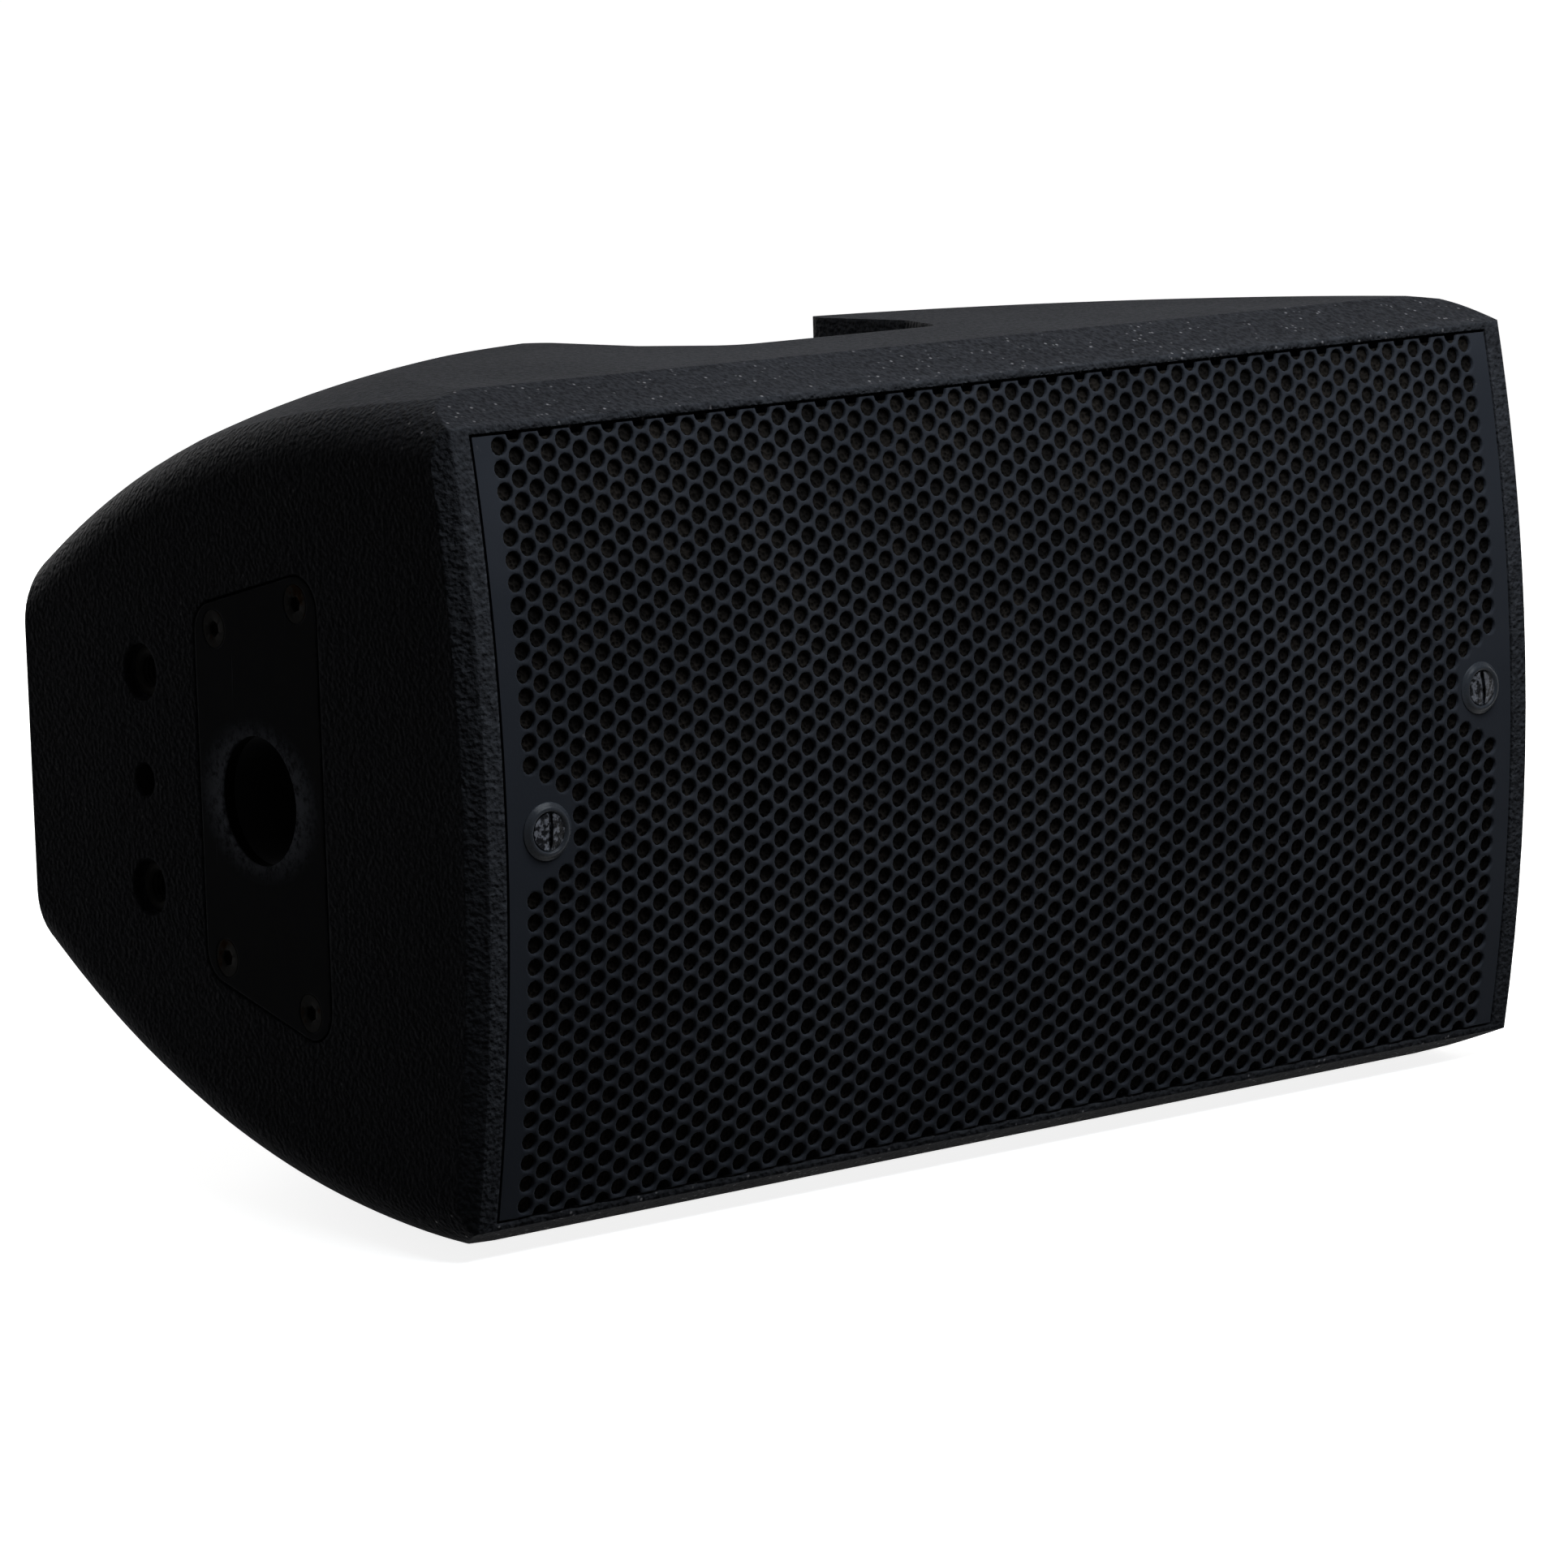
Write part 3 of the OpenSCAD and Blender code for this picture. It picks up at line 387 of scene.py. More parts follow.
def cupEnamel():
    # washers sprayed with the grille, shinier, and rubbed bare along the rolled rim
    made = Finish("cupEnamel")
    fine = made.noise(cup["fine"])
    turning = made.softEdges(cup["edgeRadius"])[1]
    rubbed = turning.ramp(*cup["edgeTurn"]) * made.patches(**cup["rubbed"])
    colour = made.mix(made.patches(**cup["broad"]), cup["face"], cup["light"])
    colour = made.mix(rubbed * cup["rubbedShare"], colour, cup["bare"])
    return made.surface(
        colour=colour,
        roughness=cup["rough"] + fine * cup["roughGrain"],
        gloss=cup["gloss"],
        normal=made.bump(fine, *cup["bump"]),
    )


plate = {
    "face": (0.009, 0.0093, 0.0102),
    "light": (0.0126, 0.01302, 0.01428),
    # painted shade: the near-black colour of the bore wall, as if it lay in shadow
    "bore": (0.002, 0.002, 0.002),
    "scuffed": (0.25, 0.262, 0.3),
    "ringIn": 19.0,  # the rubbed ring round the pole hole, in millimetres, and how far it is flattened
    "ringOut": 31.0,
    "ringFlat": 1.3,
    "faceDeep": (0.0003, 0.0012),
    "edgeRadius": 0.0008,
    "edgeTurn": (0.02, 0.2),
    "rubbed": {"scale": 380.0, "detail": 5.0, "rough": 0.7, "low": 0.3, "high": 0.6},
    "scratch": {"scale": 22.0, "rough": 0.6, "stretch": (1.0, 12.0, 0.8), "low": 0.67, "high": 0.72},
    "scratched": {"scale": 30.0, "detail": 1.0, "low": 0.45, "high": 0.6},
    "rim": {"scale": 160.0, "detail": 3.0, "low": 0.45, "high": 0.65},
    "broad": {"scale": 40.0, "detail": 4.0, "low": 0.3, "high": 0.7},
    "fine": 900.0,
    "shares": {"ring": 0.85, "scratch": 0.3, "rim": 0.2},
    "rough": 0.55,
    "roughRubbed": 0.25,
    "gloss": 0.0032,
    "bump": (0.25, 0.0002),
}


def satinPlate():
    # satin painted plate, rubbed pale round the pole hole and scratched here and there; its bore is painted
    # near black as shade
    made = Finish("satinPlate")
    share = plate["shares"]
    middle = place @ Vector((0, cabinet["poleBack"], 0))
    back = made.along("Y") - middle.y
    up = (made.along("Z") - middle.z) * plate["ringFlat"]
    away = (back * back + up * up) ** 0.5
    ring = 1.0 - away.ramp(plate["ringIn"] * mm, plate["ringOut"] * mm)
    face = -cabinet["halfLength"] * mm
    outside = 1.0 - made.along("X").ramp(*[face + deep for deep in plate["faceDeep"]])
    rubbed = ring * outside * made.patches(**plate["rubbed"])
    scratch = made.patches(**plate["scratch"]) * made.patches(**plate["scratched"])
    rounded, turning = made.softEdges(plate["edgeRadius"])
    rim = turning.ramp(*plate["edgeTurn"]) * made.patches(**plate["rim"])
    bared = (rubbed * share["ring"] + scratch * share["scratch"] + rim * share["rim"]).least(1.0)
    colour = made.mix(made.patches(**plate["broad"]), plate["face"], plate["light"])
    colour = made.mix(bared, colour, plate["scuffed"])
    # painted shade: all but the outer face, that is the bore wall, takes the near-black colour
    colour = made.mix(outside, plate["bore"], colour)
    return made.surface(
        colour=colour,
        roughness=plate["rough"] + rubbed * plate["roughRubbed"],
        gloss=plate["gloss"],
        normal=made.bump(made.noise(plate["fine"]), *plate["bump"], rounded),
    )


rust = {
    "oxide": (0.0085, 0.0082, 0.0077),
    "brown": (0.034, 0.016, 0.0065),
    "steel": (0.014, 0.0136, 0.0126),
    "edgeRadius": 0.0006,
    "edgeTurn": (0.03, 0.25),
    "spots": {"scale": 140.0, "detail": 5.0, "rough": 0.65, "low": 0.53, "high": 0.66},
    "pits": {"scale": 1500.0, "detail": 3.0},
    "shares": {"bare": 0.6, "brown": 0.75},
    "rough": 0.55,
    "roughSpots": 0.3,
    "metal": 0.03,
    "gloss": 0.005,
    "bump": (0.4, 0.0002),
}


def rustyScrew():
    # black oxide, bare on its edges, with brown spots that are rougher and less metallic
    made = Finish("rustyScrew")
    spots = made.patches(**rust["spots"])
    bare = made.softEdges(rust["edgeRadius"])[1].ramp(*rust["edgeTurn"])
    colour = made.mix(bare * rust["shares"]["bare"], rust["oxide"], rust["steel"])
    colour = made.mix(spots * rust["shares"]["brown"], colour, rust["brown"])
    return made.surface(
        colour=colour,
        roughness=rust["rough"] + spots * rust["roughSpots"],
        metallic=rust["metal"] - spots * rust["metal"],
        gloss=rust["gloss"],
        normal=made.bump(made.noise(**rust["pits"]), *rust["bump"]),
    )


# everyday finishes: two tones, the scale of their mottling and grain per metre, and how they shine
plain = {
    "gloss": 0.04,
    "mottleShare": 0.75,
    "grainShare": 0.25,
    "tone": (0.3, 0.7),
    "roughLess": 0.08,
    "roughGrain": 0.16,
    "bump": (0.3, 0.0003),
}
finishes = {
    "mouldedBlack": {
        "tones": ((0.012, 0.012, 0.013), (0.02, 0.02, 0.022)),
        "mottle": 60, "grain": 1500, "rough": 0.5,
    },
    "platedInsert": {
        "tones": ((0.0045, 0.0043, 0.0041), (0.011, 0.0106, 0.01)),
        "mottle": 300, "grain": 900, "rough": 0.5, "gloss": 0.008,
    },
    "zincSteel": {
        "tones": ((0.1, 0.1, 0.098), (0.2, 0.2, 0.19)),
        "mottle": 220, "grain": 900, "rough": 0.35, "metal": 1.0,
    },
    "blackOxide": {
        "tones": ((0.014, 0.014, 0.015), (0.035, 0.035, 0.036)),
        "mottle": 300, "grain": 1200, "rough": 0.42, "metal": 0.6,
    },
    "castAlloy": {
        "tones": ((0.03, 0.031, 0.034), (0.055, 0.057, 0.062)),
        "mottle": 120, "grain": 700, "rough": 0.55, "metal": 0.3,
    },
    "gapSteel": {
        "tones": ((0.2, 0.2, 0.21), (0.34, 0.34, 0.35)),
        "mottle": 90, "grain": 1600, "rough": 0.33, "metal": 1.0,
    },
    "ferriteRing": {
        "tones": ((0.022, 0.022, 0.024), (0.042, 0.042, 0.044)),
        "mottle": 150, "grain": 2000, "rough": 0.7,
    },
    "paintedBoard": {
        "tones": ((0.03, 0.026, 0.022), (0.05, 0.043, 0.036)),
        "mottle": 35, "grain": 500, "rough": 0.75,
    },
    "rubberRoll": {
        "tones": ((0.01, 0.01, 0.01), (0.02, 0.02, 0.02)),
        "mottle": 90, "grain": 1100, "rough": 0.6,
    },
    "paperCone": {
        "tones": ((0.012, 0.012, 0.012), (0.03, 0.029, 0.028)),
        "mottle": 240, "grain": 800, "rough": 0.85,
    },
    "copperWire": {
        "tones": ((0.4, 0.15, 0.05), (0.62, 0.3, 0.12)),
        "mottle": 120, "grain": 2600, "rough": 0.34, "metal": 0.9,
    },
    "wovenSpider": {
        "tones": ((0.35, 0.2, 0.06), (0.6, 0.38, 0.13)),
        "mottle": 300, "grain": 1700, "rough": 0.85,
    },
    "foil": {
        "tones": ((0.5, 0.5, 0.52), (0.72, 0.72, 0.74)),
        "mottle": 90, "grain": 900, "rough": 0.28, "metal": 1.0,
    },
    "solderMask": {
        "tones": ((0.016, 0.06, 0.026), (0.035, 0.1, 0.05)),
        "mottle": 200, "grain": 1300, "rough": 0.3,
    },
    "wrappedFilm": {
        "tones": ((0.09, 0.012, 0.02), (0.16, 0.03, 0.04)),
        "mottle": 80, "grain": 900, "rough": 0.3,
    },
    "cement": {
        "tones": ((0.5, 0.48, 0.42), (0.7, 0.67, 0.6)),
        "mottle": 260, "grain": 1200, "rough": 0.9,
    },
    "feltWadding": {
        "tones": ((0.05, 0.05, 0.047), (0.11, 0.11, 0.1)),
        "mottle": 180, "grain": 900, "rough": 1.0,
    },
}


def plainFinish(name):
    look = finishes[name]
    made = Finish(name)
    mottle = made.noise(look["mottle"], detail=4.0, rough=0.6)
    grain = made.noise(look["grain"], detail=3.0, rough=0.6)
    both = mottle * plain["mottleShare"] + grain * plain["grainShare"]
    return made.surface(
        colour=made.mix(both.ramp(*plain["tone"]), *look["tones"]),
        roughness=look["rough"] - plain["roughLess"] + grain * plain["roughGrain"],
        metallic=look.get("metal", 0.0),
        gloss=look.get("gloss", plain["gloss"]),
        normal=made.bump(grain, *plain["bump"]),
    )


mixed = {name: plainFinish(name) for name in finishes}
for special in (texturedPaint, grilleEnamel, foamCell, cupEnamel, wornNickel, satinPlate, rustyScrew):
    made = special()
    mixed[made.name] = made
print("finishes mixed,", len(mixed))


# piece kit
def meshOf(name, points, faces, where=None):
    # points in millimetres of the cabinet's own frame, or of a seat's frame
    mesh = bpy.data.meshes.new(name)
    mesh.from_pydata(points, [], faces)
    mesh.transform(place @ (where or Matrix.Identity(4)))
    mesh.update()
    return mesh


def addPiece(name, mesh, finish, stands, body="cabinet", sharp=35.0):
    # a piece that sits between two bodies has no body of its own
    piece = bpy.data.objects.new(name, mesh)
    scene.collection.objects.link(piece)
    mesh.materials.clear()
    mesh.materials.append(mixed[finish])
    mesh.shade_smooth()
    mesh.set_sharp_from_angle(angle=math.radians(sharp))
    if body:
        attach(piece, body)
    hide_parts(*stands)
    return piece


def seatAt(spot, out):
    # local z along out, local y kept as upright as it goes
    z = Vector(out).normalized()
    x = Vector((0, 0, 1)).cross(z).normalized()
    turn = Matrix((x, z.cross(x), z)).transposed().to_4x4()
    return Matrix.Translation(spot) @ turn


def circle(radius, height, steps):
    angles = [math.tau * k / steps for k in range(steps)]
    return [(radius * math.cos(a), radius * math.sin(a), height) for a in angles]


def bridged(rows, flipped=False):
    # faces between each closed row of points and the next; a row on one point gives triangles
    faces = []
    for low, high in zip(rows, rows[1:]):
        for k in range(len(low)):
            n = (k + 1) % len(low)
            around = (low[k], high[k], high[n], low[n]) if flipped else (low[k], low[n], high[n], high[k])
            face = list(dict.fromkeys(around))
            if len(face) > 2:
                faces.append(face)
    return faces


def turned(profile, steps):
    # a profile of (radius, height) turned about z; a radius of 0 closes to a point
    points, rows = [], []
    for radius, height in profile:
        if radius:
            rows.append(list(range(len(points), len(points) + steps)))
            points += circle(radius, height, steps)
        else:
            rows.append([len(points)] * steps)
            points.append((0, 0, height))
    return points, bridged(rows)


def openEdges(faces):
    # edges that only one face uses, in that face's direction
    edges = {}
    for face in faces:
        for a, b in zip(face, face[1:] + face[:1]):
            if (b, a) in edges:
                del edges[(b, a)]
            else:
                edges[(a, b)] = True
    return list(edges)


def joined(name, meshes):
    whole = bmesh.new()
    for mesh in meshes:
        whole.from_mesh(mesh)
    result = bpy.data.meshes.new(name)
    whole.to_mesh(result)
    whole.free()
    return result


# grille, in millimetres
grille = {
    "halfLength": 185.0,
    "rows": 35,
    "pitch": 6.0,
    "hole": 2.5,
    "rim": 0.26,
    "thick": 1.2,
    "margin": 8.3,
    "patchUp": 21.0,
    "patchIn": 22.0,
    "rays": 12,  # corners of a hole, a multiple of 6
}


def onBow(x, up, depth):
    # a point of the bowed front: up is measured along the bow, depth goes into the cabinet
    r = cabinet["bowRadius"]
    return (x, r - (r - depth) * math.cos(up / r), (r - depth) * math.sin(up / r))


def grilleMesh():
    # hexagon cells with a round hole each; cells near the two screws stay blank
    pitch, rays, half = grille["pitch"], grille["rays"], grille["halfLength"]
    column = pitch * math.sqrt(3) / 2
    last = int((half - grille["margin"]) / column)
    known, flat, rims, faces = {}, [], {}, []

    def corner(x, up):
        key = (round(x, 3), round(up, 3))
        if key not in known:
            known[key] = len(flat)
            flat.append((x, up))
        return known[key]

    def rimPoint(x, up, a):
        rims[len(flat)] = (x + grille["hole"] * math.cos(a), up + grille["hole"] * math.sin(a))
        wide = grille["hole"] + grille["rim"]
        flat.append((x + wide * math.cos(a), up + wide * math.sin(a)))
        return len(flat) - 1

    def edgePoint(x, up, k):
        a = math.tau * (k % rays) / rays
        reach = pitch / 2 / math.cos(a % (math.pi / 3) - math.pi / 6)
        return corner(x + reach * math.cos(a), up + reach * math.sin(a))

    for i in range(-last, last + 1):
        x = i * column
        odd = abs(i) % 2
        edge = half - abs(x)
        for j in range(grille["rows"] + odd):
            up = (j - (grille["rows"] - 1 + odd) / 2) * pitch
            span = range(rays + 1)
            # odd columns begin and end with half a cell
            if odd and j == 0:
                span = range(rays // 2 + 1)
            if odd and j == grille["rows"]:
                span = range(rays // 2, rays + 1)
            outer = [edgePoint(x, up, k) for k in span]
            if edge <= grille["patchIn"] and abs(up) <= grille["patchUp"] - edge * math.tan(math.pi / 6):
                faces.append(list(dict.fromkeys(outer)))
                continue
            whole = len(span) > rays
            inner = [rimPoint(x, up, math.tau * k / rays) for k in (span[:-1] if whole else span)]
            if whole:
                inner.append(inner[0])
            for k in range(len(outer) - 1):
                faces.append([inner[k], outer[k], outer[k + 1], inner[k + 1]])
    for side in (-1, 1):
        # plain strip between the last column and the end of the sheet
        x = side * last * column
        span = range(-rays // 6, rays // 6 + 1) if side > 0 else range(rays // 3, 2 * rays // 3 + 1)
        for j in range(grille["rows"]):
            up = (j - (grille["rows"] - 1) / 2) * pitch
            zigzag = [edgePoint(x, up, k) for k in span]
            ends = [corner(side * half, up - side * pitch / 2), corner(side * half, up + side * pitch / 2)]
            faces.append(ends + zigzag[::-1])
    count = len(flat)
    points = [onBow(x, up, 0) for x, up in flat]
    points += [onBow(*rims.get(k, flat[k]), grille["thick"]) for k in range(count)]
    lip = {k: count * 2 + n for n, k in enumerate(rims)}
    points += [onBow(*rims[k], grille["rim"]) for k in rims]
    solid = list(faces) + [[k + count for k in reversed(face)] for face in faces]
    for a, b in openEdges(faces):
        if a in rims and b in rims:
            solid.append([b, a, lip[a], lip[b]])
            solid.append([lip[b], lip[a], a + count, b + count])
        else:
            # the sheet's outer edges, with the lip of a half hole where one ends there
            lipA = [lip[a]] if a in rims else []
            lipB = [lip[b]] if b in rims else []
            solid.append([b, a, *lipA, a + count, b + count, *lipB])
    return meshOf("perforatedGrille", points, solid)


addPiece("perforatedGrille", grilleMesh(), "grilleEnamel", ["grille"], sharp=50.0)
print("grille pressed")

# grille screws in their cup washers, in millimetres; heights from the grille's face
screwSet = {
    "along": 172.2,
    "front": 0.2,
    "headRadius": 5.0,
    "headEdge": 1.25,
    "headTop": 1.99,
    "domeRings": 8,
    "rimSteps": [(0.08, -0.12), (-0.1, -0.35)],  # from the head's edge
    "neck": 0.9,
    "shank": 2.5,
    "long": 14.0,
    "slotWide": 1.4,
    "slotFloor": 0.75,
    "slotTurn": 4.0,  # degrees
    "slotFacing": 0.5,  # the slot is cut in faces that look up at least this much
    "slotSlack": 0.05,
    "steps": 48,
    "cupSteps": 56,
}
cupProfile = [
    (2.9, 0.05), (7.6, 0.0), (7.85, 0.08), (7.85, 0.34), (7.72, 0.52), (7.35, 0.72),
    (6.95, 1.12), (6.6, 1.45), (6.3, 1.62), (5.95, 1.7), (5.65, 1.62), (5.45, 1.38),
    (5.25, 1.05), (4.0, 0.6), (2.9, 0.4), (2.9, 0.05),
]


def slottedHead():
    top, edge, radius = screwSet["headTop"], screwSet["headEdge"], screwSet["headRadius"]
    rings, halfSlot = screwSet["domeRings"], screwSet["slotWide"] / 2
    profile = [(radius * k / rings, top - (top - edge) * (k / rings) ** 2) for k in range(rings + 1)]
    profile += [(radius + out, edge + up) for out, up in screwSet["rimSteps"]]
    profile += [(screwSet["shank"], edge - screwSet["neck"]), (screwSet["shank"], -screwSet["long"])]
    profile.append((0, -screwSet["long"]))
    points, faces = turned(profile[::-1], screwSet["steps"])
    head = bmesh.new()
    verts = [head.verts.new(p) for p in points]
    for face in faces:
        head.faces.new([verts[k] for k in face])
    for side in (-1, 1):
        everything = head.verts[:] + head.edges[:] + head.faces[:]
        bmesh.ops.bisect_plane(head, geom=everything, plane_co=(side * halfSlot, 0, 0), plane_no=(1, 0, 0))

    def inSlot(face):
        middle = face.calc_center_median()
        looksUp = face.normal.z > screwSet["slotFacing"]
        return looksUp and abs(middle.x) < halfSlot and middle.z > edge - screwSet["slotSlack"]

    groove = [face for face in head.faces if inSlot(face)]
    sunk = bmesh.ops.extrude_face_region(head, geom=groove)["geom"]
    bmesh.ops.delete(head, geom=groove, context="FACES")
    for v in sunk:
        if isinstance(v, bmesh.types.BMVert):
            v.co.z = screwSet["slotFloor"]
    bmesh.ops.recalc_face_normals(head, faces=head.faces[:])
    mesh = bpy.data.meshes.new("slottedHead")
    head.to_mesh(mesh)
    head.free()
    return mesh


# foam behind the grille, in millimetres
foamSheet = {
    "halfLength": 184.0,
    "halfHeight": 103.6,
    "front": 1.46,
    "thick": 2.9,
    "step": 3.0,
    "post": 7.6,
    "rough": 0.22,
}


def foamMesh():
    # a sheet on the bow with an uneven front, cut out round the two screw posts
    random.seed(11)
    acrossCount = int(2 * foamSheet["halfLength"] / foamSheet["step"])
    upCount = int(2 * foamSheet["halfHeight"] / foamSheet["step"])
    points, kept = [], []
    for layer in (0, 1):
        for i in range(acrossCount + 1):
            for j in range(upCount + 1):
                x = (2 * i / acrossCount - 1) * foamSheet["halfLength"]
                up = (2 * j / upCount - 1) * foamSheet["halfHeight"]
                deeper = foamSheet["thick"] if layer else random.uniform(0, foamSheet["rough"])
                points.append(onBow(x, up, foamSheet["front"] + deeper))
    row = upCount + 1
    size = row * (acrossCount + 1)
    for i in range(acrossCount):
        for j in range(upCount):
            a = i * row + j
            around = [a, a + row, a + row + 1, a + 1]
            x, up = [sum(points[k][axis] for k in around) / 4 for axis in (0, 2)]
            if math.hypot(abs(x) - screwSet["along"], up) > foamSheet["post"]:
                kept.append(around)
    faces = kept + [[k + size for k in reversed(face)] for face in kept]
    faces += [[b, a, a + size, b + size] for a, b in openEdges(kept)]
    mesh = meshOf("grilleFoamSheet", points, faces)
    trimmed = bmesh.new()
    trimmed.from_mesh(mesh)
    bmesh.ops.delete(trimmed, geom=[v for v in trimmed.verts if not v.link_faces], context="VERTS")
    trimmed.to_mesh(mesh)
    trimmed.free()
    return mesh


cups, heads = [], []
for side in (-1, 1):
    where = seatAt((side * screwSet["along"], screwSet["front"], 0), (0, -1, 0))
    cups.append(meshOf("cup", *turned(cupProfile, screwSet["cupSteps"]), where))
    head = slottedHead()
    head.transform(place @ where @ Matrix.Rotation(math.radians(screwSet["slotTurn"] * side), 4, "Z"))
    heads.append(head)
addPiece("cupWashers", joined("cupWashers", cups), "cupEnamel", ["cup_washers"], sharp=60.0)
whole = joined("slottedScrews", heads)
addPiece("slottedScrews", whole, "headNickel", ["grille_screws"], sharp=40.0)
addPiece("grilleFoamSheet", foamMesh(), "foamCell", ["grille_foam"])
print("grille screws and foam seated")

# socket screws of the pole plate, in millimetres; places are (back, up) on either side of the middle
plateScrew = {
    "places": [(78.9, 56.06), (119.0, 45.88)],
    "sunk": 0.05,
    "head": 5.45,
    "headFlat": 5.1,
    "edge": 0.25,
    "socket": 2.3,
    "socketMouth": 2.6,
    "deep": 2.0,
    "dimple": 0.4,
    "dimpleDeep": 2.3,
    "cone": 3.0,
    "shank": 2.6,
    "long": 16.0,
    "tip": 1.9,
    "tipLong": 0.6,
    "steps": 24,
}


def hexSocketScrew():
    size, steps = plateScrew, plateScrew["steps"]

    def hexagon(radius, height):
        points = []
        for k in range(steps):
            a = math.tau * k / steps
            reach = radius * math.cos(math.pi / 6) / math.cos(a % (math.pi / 3) - math.pi / 6)
            points.append((reach * math.cos(a), reach * math.sin(a), height))
        return points

    # from the bottom of the socket up, over the head and down to the tip
    rings = [
        circle(size["dimple"], -size["dimpleDeep"], steps),
        hexagon(size["socket"], -size["deep"]),
        hexagon(size["socket"], -size["edge"]),
        circle(size["socketMouth"], 0, steps),
        circle(size["headFlat"], 0, steps),
        circle(size["head"], -size["edge"], steps),
        circle(size["shank"], -size["cone"], steps),
        circle(size["shank"], -size["long"] + size["tipLong"], steps),
        circle(size["tip"], -size["long"], steps),
    ]
    points = [point for ring in rings for point in ring]
    rows = [list(range(k * steps, (k + 1) * steps)) for k in range(len(rings))]
    return points, bridged(rows, flipped=True) + [rows[0], rows[-1][::-1]]


hexes = []
random.seed(3)
for back, up in plateScrew["places"]:
    for side in (-1, 1):
        where = seatAt((-cabinet["halfLength"] + plateScrew["sunk"], back, side * up), (-1, 0, 0))
        where = where @ Matrix.Rotation(random.uniform(0, math.tau), 4, "Z")
        hexes.append(meshOf("hex", *hexSocketScrew(), where))
whole = joined("plateScrews", hexes)
addPiece("plateScrews", whole, "rustyScrew", ["pole_plate_screws"], sharp=30.0)

# threaded inserts, in millimetres
insert = {
    "outer": 7.5,
    "edge": 0.5,
    "core": 4.25,
    "crest": 5.0,
    "thread": 1.5,
    "perTurn": 6,
    "fade": 0.6,
    "mouth": 1.0,
    "long": 20.0,
    "bore": 17.0,
    "sunk": 3.0,
    "steps": 32,
}


def threadedInsert():
    # collar with a real helix cut in its bore; the helix fades out at the mouth
    steps, outer = insert["steps"], insert["outer"]
    rowsDown = int(insert["bore"] / insert["thread"] * insert["perTurn"])
    points, rows = [], []
    for r in range(rowsDown + 1):
        depth = insert["bore"] * r / rowsDown
        rows.append(list(range(len(points), len(points) + steps)))
        for k in range(steps):
            phase = (depth / insert["thread"] + k / steps) % 1.0
            cut = (insert["crest"] - insert["core"]) * (1 - abs(2 * phase - 1))
            mouth = max(0.0, insert["mouth"] - depth)
            radius = insert["core"] + max(cut * min(1.0, depth / insert["fade"]), mouth)
            a = math.tau * k / steps
            points.append((radius * math.cos(a), radius * math.sin(a), -depth))
    rings = [rows[0]]
    for radius, height in [(outer - insert["edge"], 0), (outer, -insert["edge"]), (outer, -insert["long"])]:
        rings.append(list(range(len(points), len(points) + steps)))
        points += circle(radius, height, steps)
    return points, bridged(rows) + bridged(rings, flipped=True) + [rings[-1][::-1], rows[-1]]


inserts = []
for end in (-1, 1):
    for side in (-1, 1):
        spot = (end * (cabinet["halfLength"] - insert["sunk"]), cabinet["rigBack"], side * cabinet["rigUp"])
        inserts.append(meshOf("insert", *threadedInsert(), seatAt(spot, (end, 0, 0))))
whole = joined("threadedInserts", inserts)
addPiece("threadedInserts", whole, "platedInsert", ["rigging_inserts"], sharp=60.0)
print("plate screws and inserts seated")

# felt mat on the inside of the back, with a window round the sockets' box; in millimetres
felt = {"cell": 4.0, "lumps": 0.9, "inset": 0.4, "weld": 0.002, "ease": 0.5, "easeTimes": 4}


def feltMesh():
    low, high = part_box("damping_mat")
    random.seed(7)
    source = bmesh.new()
    source.from_mesh(nodes["damping_mat"].data)
    bmesh.ops.remove_doubles(source, verts=source.verts[:], dist=felt["weld"] * mm)
    middle = (low + high) / 2
    for v in source.verts:
        # drawn in a little, so that the swollen faces stay inside the solid's room
        for axis in range(3):
            v.co[axis] -= math.copysign(felt["inset"] * mm, v.co[axis] - middle[axis])
    flat = bpy.data.meshes.new("feltFlat")
    source.to_mesh(flat)
    source.free()
    block = bpy.data.objects.new("feltBlock", flat)
    scene.collection.objects.link(block)
    grown = block.modifiers.new("cells", "REMESH")
    grown.mode = "VOXEL"
    grown.voxel_size = felt["cell"] * mm
    eased = block.modifiers.new("ease", "SMOOTH")
    eased.factor = felt["ease"]
    eased.iterations = felt["easeTimes"]
    shaped = bpy.data.meshes.new_from_object(block.evaluated_get(bpy.context.evaluated_depsgraph_get()))
    bpy.data.objects.remove(block)
    for v in shaped.vertices:
        lump = random.uniform(-1.0, 0.0) * felt["lumps"] * mm
        v.co += v.normal * lump
        v.co = Vector([min(max(v.co[axis], low[axis]), high[axis]) for axis in range(3)])
    return shaped


addPiece("feltMat", feltMesh(), "feltWadding", ["damping_mat"])
print("felt mat laid")

# the two cloth rings that hold the cone, which are still at the outer radius and carried along at the inner
# one; here each is a finished copy of its solid, with no body
clothRings = {
    "coneSurround": {
        "node": "cone_surround", "finish": "rubberRoll", "slot": "surround_cloth",
        "outer": 87.0, "inner": 78.0,
    },
    "spiderDisc": {
        "node": "spider", "finish": "wovenSpider", "slot": "spider_cloth",
        "outer": 58.0, "inner": 30.0,
    },
}
coneLine = (place.to_3x3() @ Vector((0, 1, 0))).normalized()
for name, ring in clothRings.items():
    node, outer, inner = ring["node"], ring["outer"], ring["inner"]
    piece = addPiece(name, nodes[node].data.copy(), ring["finish"], [node], body=None)
    low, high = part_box(node)
    middle = (low + high) / 2
    side = Vector((mm, 0, 0))
    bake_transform(piece)
    # a share from the outer radius to the inner one is worked out for each point by its distance from the
    # cone's axis, and then not used
    for v in piece.data.vertices:
        reach = (v.co - middle).cross(coneLine).length / mm
        share = min(max((outer - reach) / (outer - inner), 0.0), 1.0)
        share * share * (3.0 - 2.0 * share)

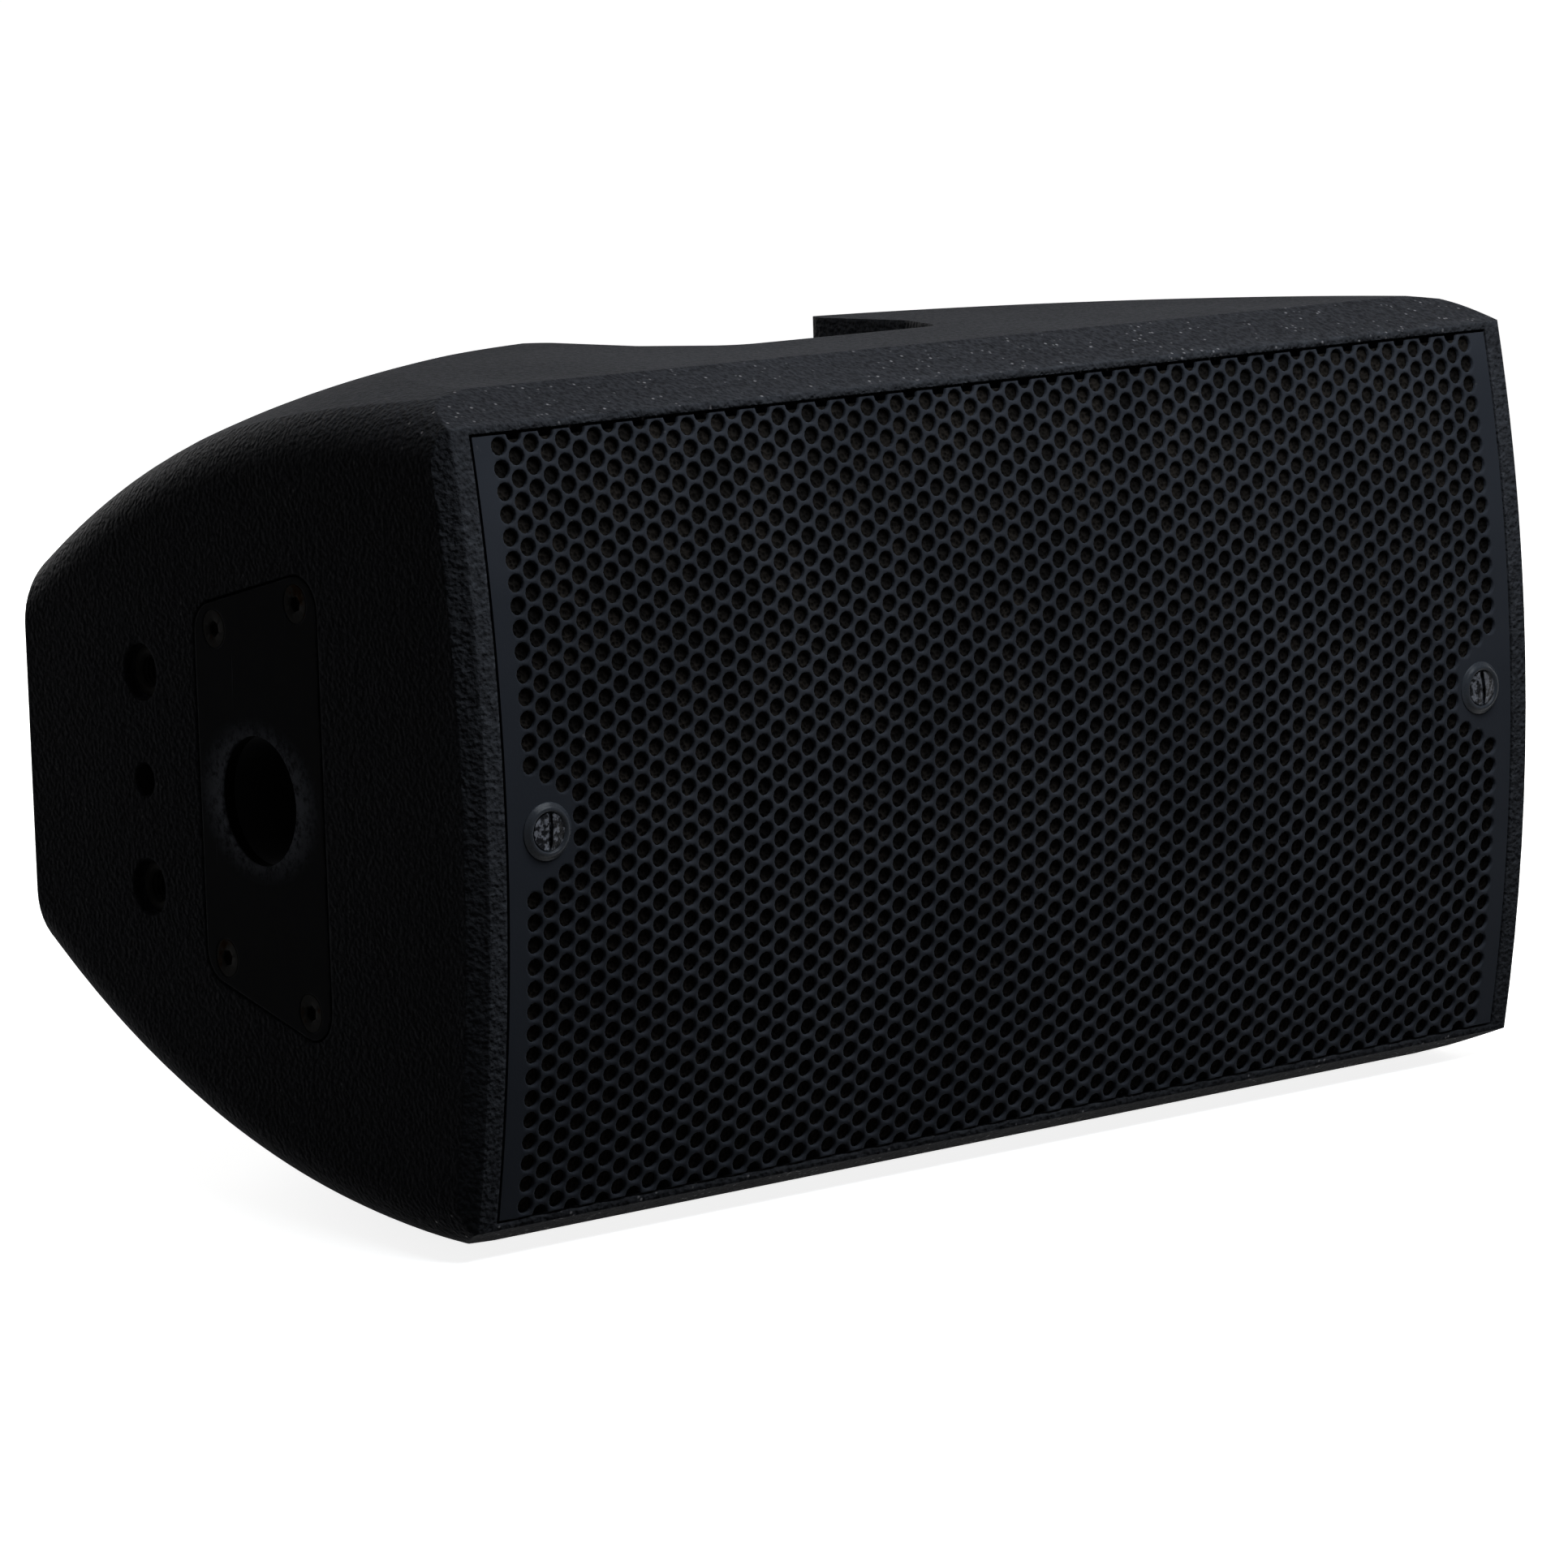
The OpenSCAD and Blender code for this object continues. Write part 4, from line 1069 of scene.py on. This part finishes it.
# solids that keep their own shape
keptSolids = {
    "cabinet_shell": "texturedPaint",
    "front_baffle": "paintedBoard",
    "reflex_ports": "mouldedBlack",
    "grille_posts": "zincSteel",
    "pole_plate": "satinPlate",
    "pole_tube": "mouldedBlack",
    "driver_basket": "castAlloy",
    "driver_gasket": "rubberRoll",
    "cone": "paperCone",
    "voice_coil": "copperWire",
    "top_plate": "gapSteel",
    "magnet": "ferriteRing",
    "pole_piece": "gapSteel",
    "driver_screws": "blackOxide",
    "tee_nuts": "zincSteel",
    "horn": "mouldedBlack",
    "hf_housing": "castAlloy",
    "hf_diaphragm": "foil",
    "hf_cover": "castAlloy",
    "crossover_board": "solderMask",
    "crossover_coils": "copperWire",
    "crossover_capacitors": "wrappedFilm",
    "crossover_resistors": "cement",
    "board_posts": "zincSteel",
    "socket_in": "mouldedBlack",
    "socket_link": "mouldedBlack",
    "socket_screws": "blackOxide",
}
for node, finish in keptSolids.items():
    solid = nodes[node]
    solid.data.materials.clear()
    solid.data.materials.append(mixed[finish])
print("solids finished,", len(keptSolids))

# camera; its place is in the cabinet's own frame
view = {
    "place": (-1124.187, -1299.629, 266.360),
    "right": (0.7801741, -0.6249595, -0.0274607),
    "down": (-0.1191964, -0.1054198, -0.9872583),
    "focalPixels": 7651.87,
    "imagePixels": 1932,
    "sensor": 36.0,
    "far": 100.0,
}
lens = bpy.data.cameras.new("photoCamera")
lens.sensor_width = view["sensor"]
lens.lens = view["sensor"] * view["focalPixels"] / view["imagePixels"]
lens.clip_end = view["far"]
eye = bpy.data.objects.new("photoCamera", lens)
scene.collection.objects.link(eye)
right, down = Vector(view["right"]), Vector(view["down"])
looking = Matrix((right, -down, -right.cross(down))).transposed().to_4x4()
seen = place @ Matrix.Translation(view["place"]) @ looking
eye.matrix_world = Matrix.LocRotScale(seen.to_translation(), seen.to_quaternion(), None)
scene.camera = eye

# lamps, in metres and watts; each looks at its own aim
lamps = {
    "frontSoftbox": {
        "at": (0.05, -0.37, 0.6), "aim": (0.05, 0, 0.1), "size": (0.48, 0.24),
        "power": 3.5, "tint": (0.88, 0.94, 1.0),
    },
    "backSoftbox": {
        "at": (0.05, 1.25, 0.42), "aim": (0, 0, 0.1), "size": (0.5, 0.5),
        "power": 8.0, "tint": (1.0, 0.99, 0.97),
    },
    "farEndSoftbox": {
        "at": (1.15, 0.2, 0.3), "aim": (0, 0, 0.1), "size": (0.5, 0.5),
        "power": 6.0, "tint": (1.0, 0.99, 0.97),
    },
    # a sun, so its power is per square metre and its size an angle
    "roomLight": {
        "at": (0.3, 0.5, 0.81), "aim": (0, 0, 0), "angle": 0.6,
        "power": 0.62, "tint": (1.0, 0.98, 0.95),
    },
}
for name, lamp in lamps.items():
    bulb = bpy.data.lights.new(name, "SUN" if "angle" in lamp else "AREA")
    bulb.energy = lamp["power"]
    bulb.color = lamp["tint"]
    if "angle" in lamp:
        bulb.angle = lamp["angle"]
    else:
        bulb.shape = "RECTANGLE"
        bulb.size, bulb.size_y = lamp["size"]
    hung = bpy.data.objects.new(name, bulb)
    scene.collection.objects.link(hung)
    hung.location = lamp["at"]
    hung.rotation_euler = (Vector(lamp["at"]) - Vector(lamp["aim"])).to_track_quat("Z", "Y").to_euler()

# white floor and room; what they send back on to the cabinet is dimmer than what is seen of them
stage = {"floorSize": 30.0, "floorTone": 0.86, "floorGlow": 0.86, "bounceTone": 0.05, "ambient": 0.045}


def grey(tone):
    return (tone, tone, tone, 1.0)


def shown(finish):
    # 1 for what the camera, a mirror or a glass sees directly
    kinds = ("Is Camera Ray", "Is Glossy Ray", "Is Transmission Ray")
    camera, glossy, through = [finish.node("ShaderNodeLightPath", out=kind) for kind in kinds]
    return (camera + glossy + through).least(1.0)


def paleFloor():
    made = Finish("paleFloor")
    bounce = made.node("ShaderNodeBsdfDiffuse", None, {"Color": grey(stage["bounceTone"])})
    face = made.node("ShaderNodeBsdfDiffuse", None, {"Color": grey(stage["floorTone"])})
    glow = made.node("ShaderNodeEmission", None, {"Color": grey(1.0), "Strength": stage["floorGlow"]})
    bright = made.node("ShaderNodeAddShader", None, {0: face, 1: glow})
    whole = made.node("ShaderNodeMixShader", None, {0: shown(made), 1: bounce, 2: bright})
    made.node("ShaderNodeOutputMaterial", None, {"Surface": whole})
    return made.owner


half = stage["floorSize"] / 2
corners = [(-half, -half, 0), (half, -half, 0), (half, half, 0), (-half, half, 0)]
floorMesh = bpy.data.meshes.new("paleFloor")
floorMesh.from_pydata(corners, [], [[0, 1, 2, 3]])
floorMesh.materials.append(paleFloor())
floor = bpy.data.objects.new("paleFloor", floorMesh)
scene.collection.objects.link(floor)

scene.world = bpy.data.worlds.new("paleRoom")
room = Finish("paleRoom", scene.world)
dim = room.node("ShaderNodeBackground", None, {"Color": grey(1.0), "Strength": stage["ambient"]})
white = room.node("ShaderNodeBackground", None, {"Color": grey(1.0), "Strength": 1.0})
air = room.node("ShaderNodeMixShader", None, {0: shown(room), 1: dim, 2: white})
room.node("ShaderNodeOutputWorld", None, {"Surface": air})
print("camera, floor and light set")
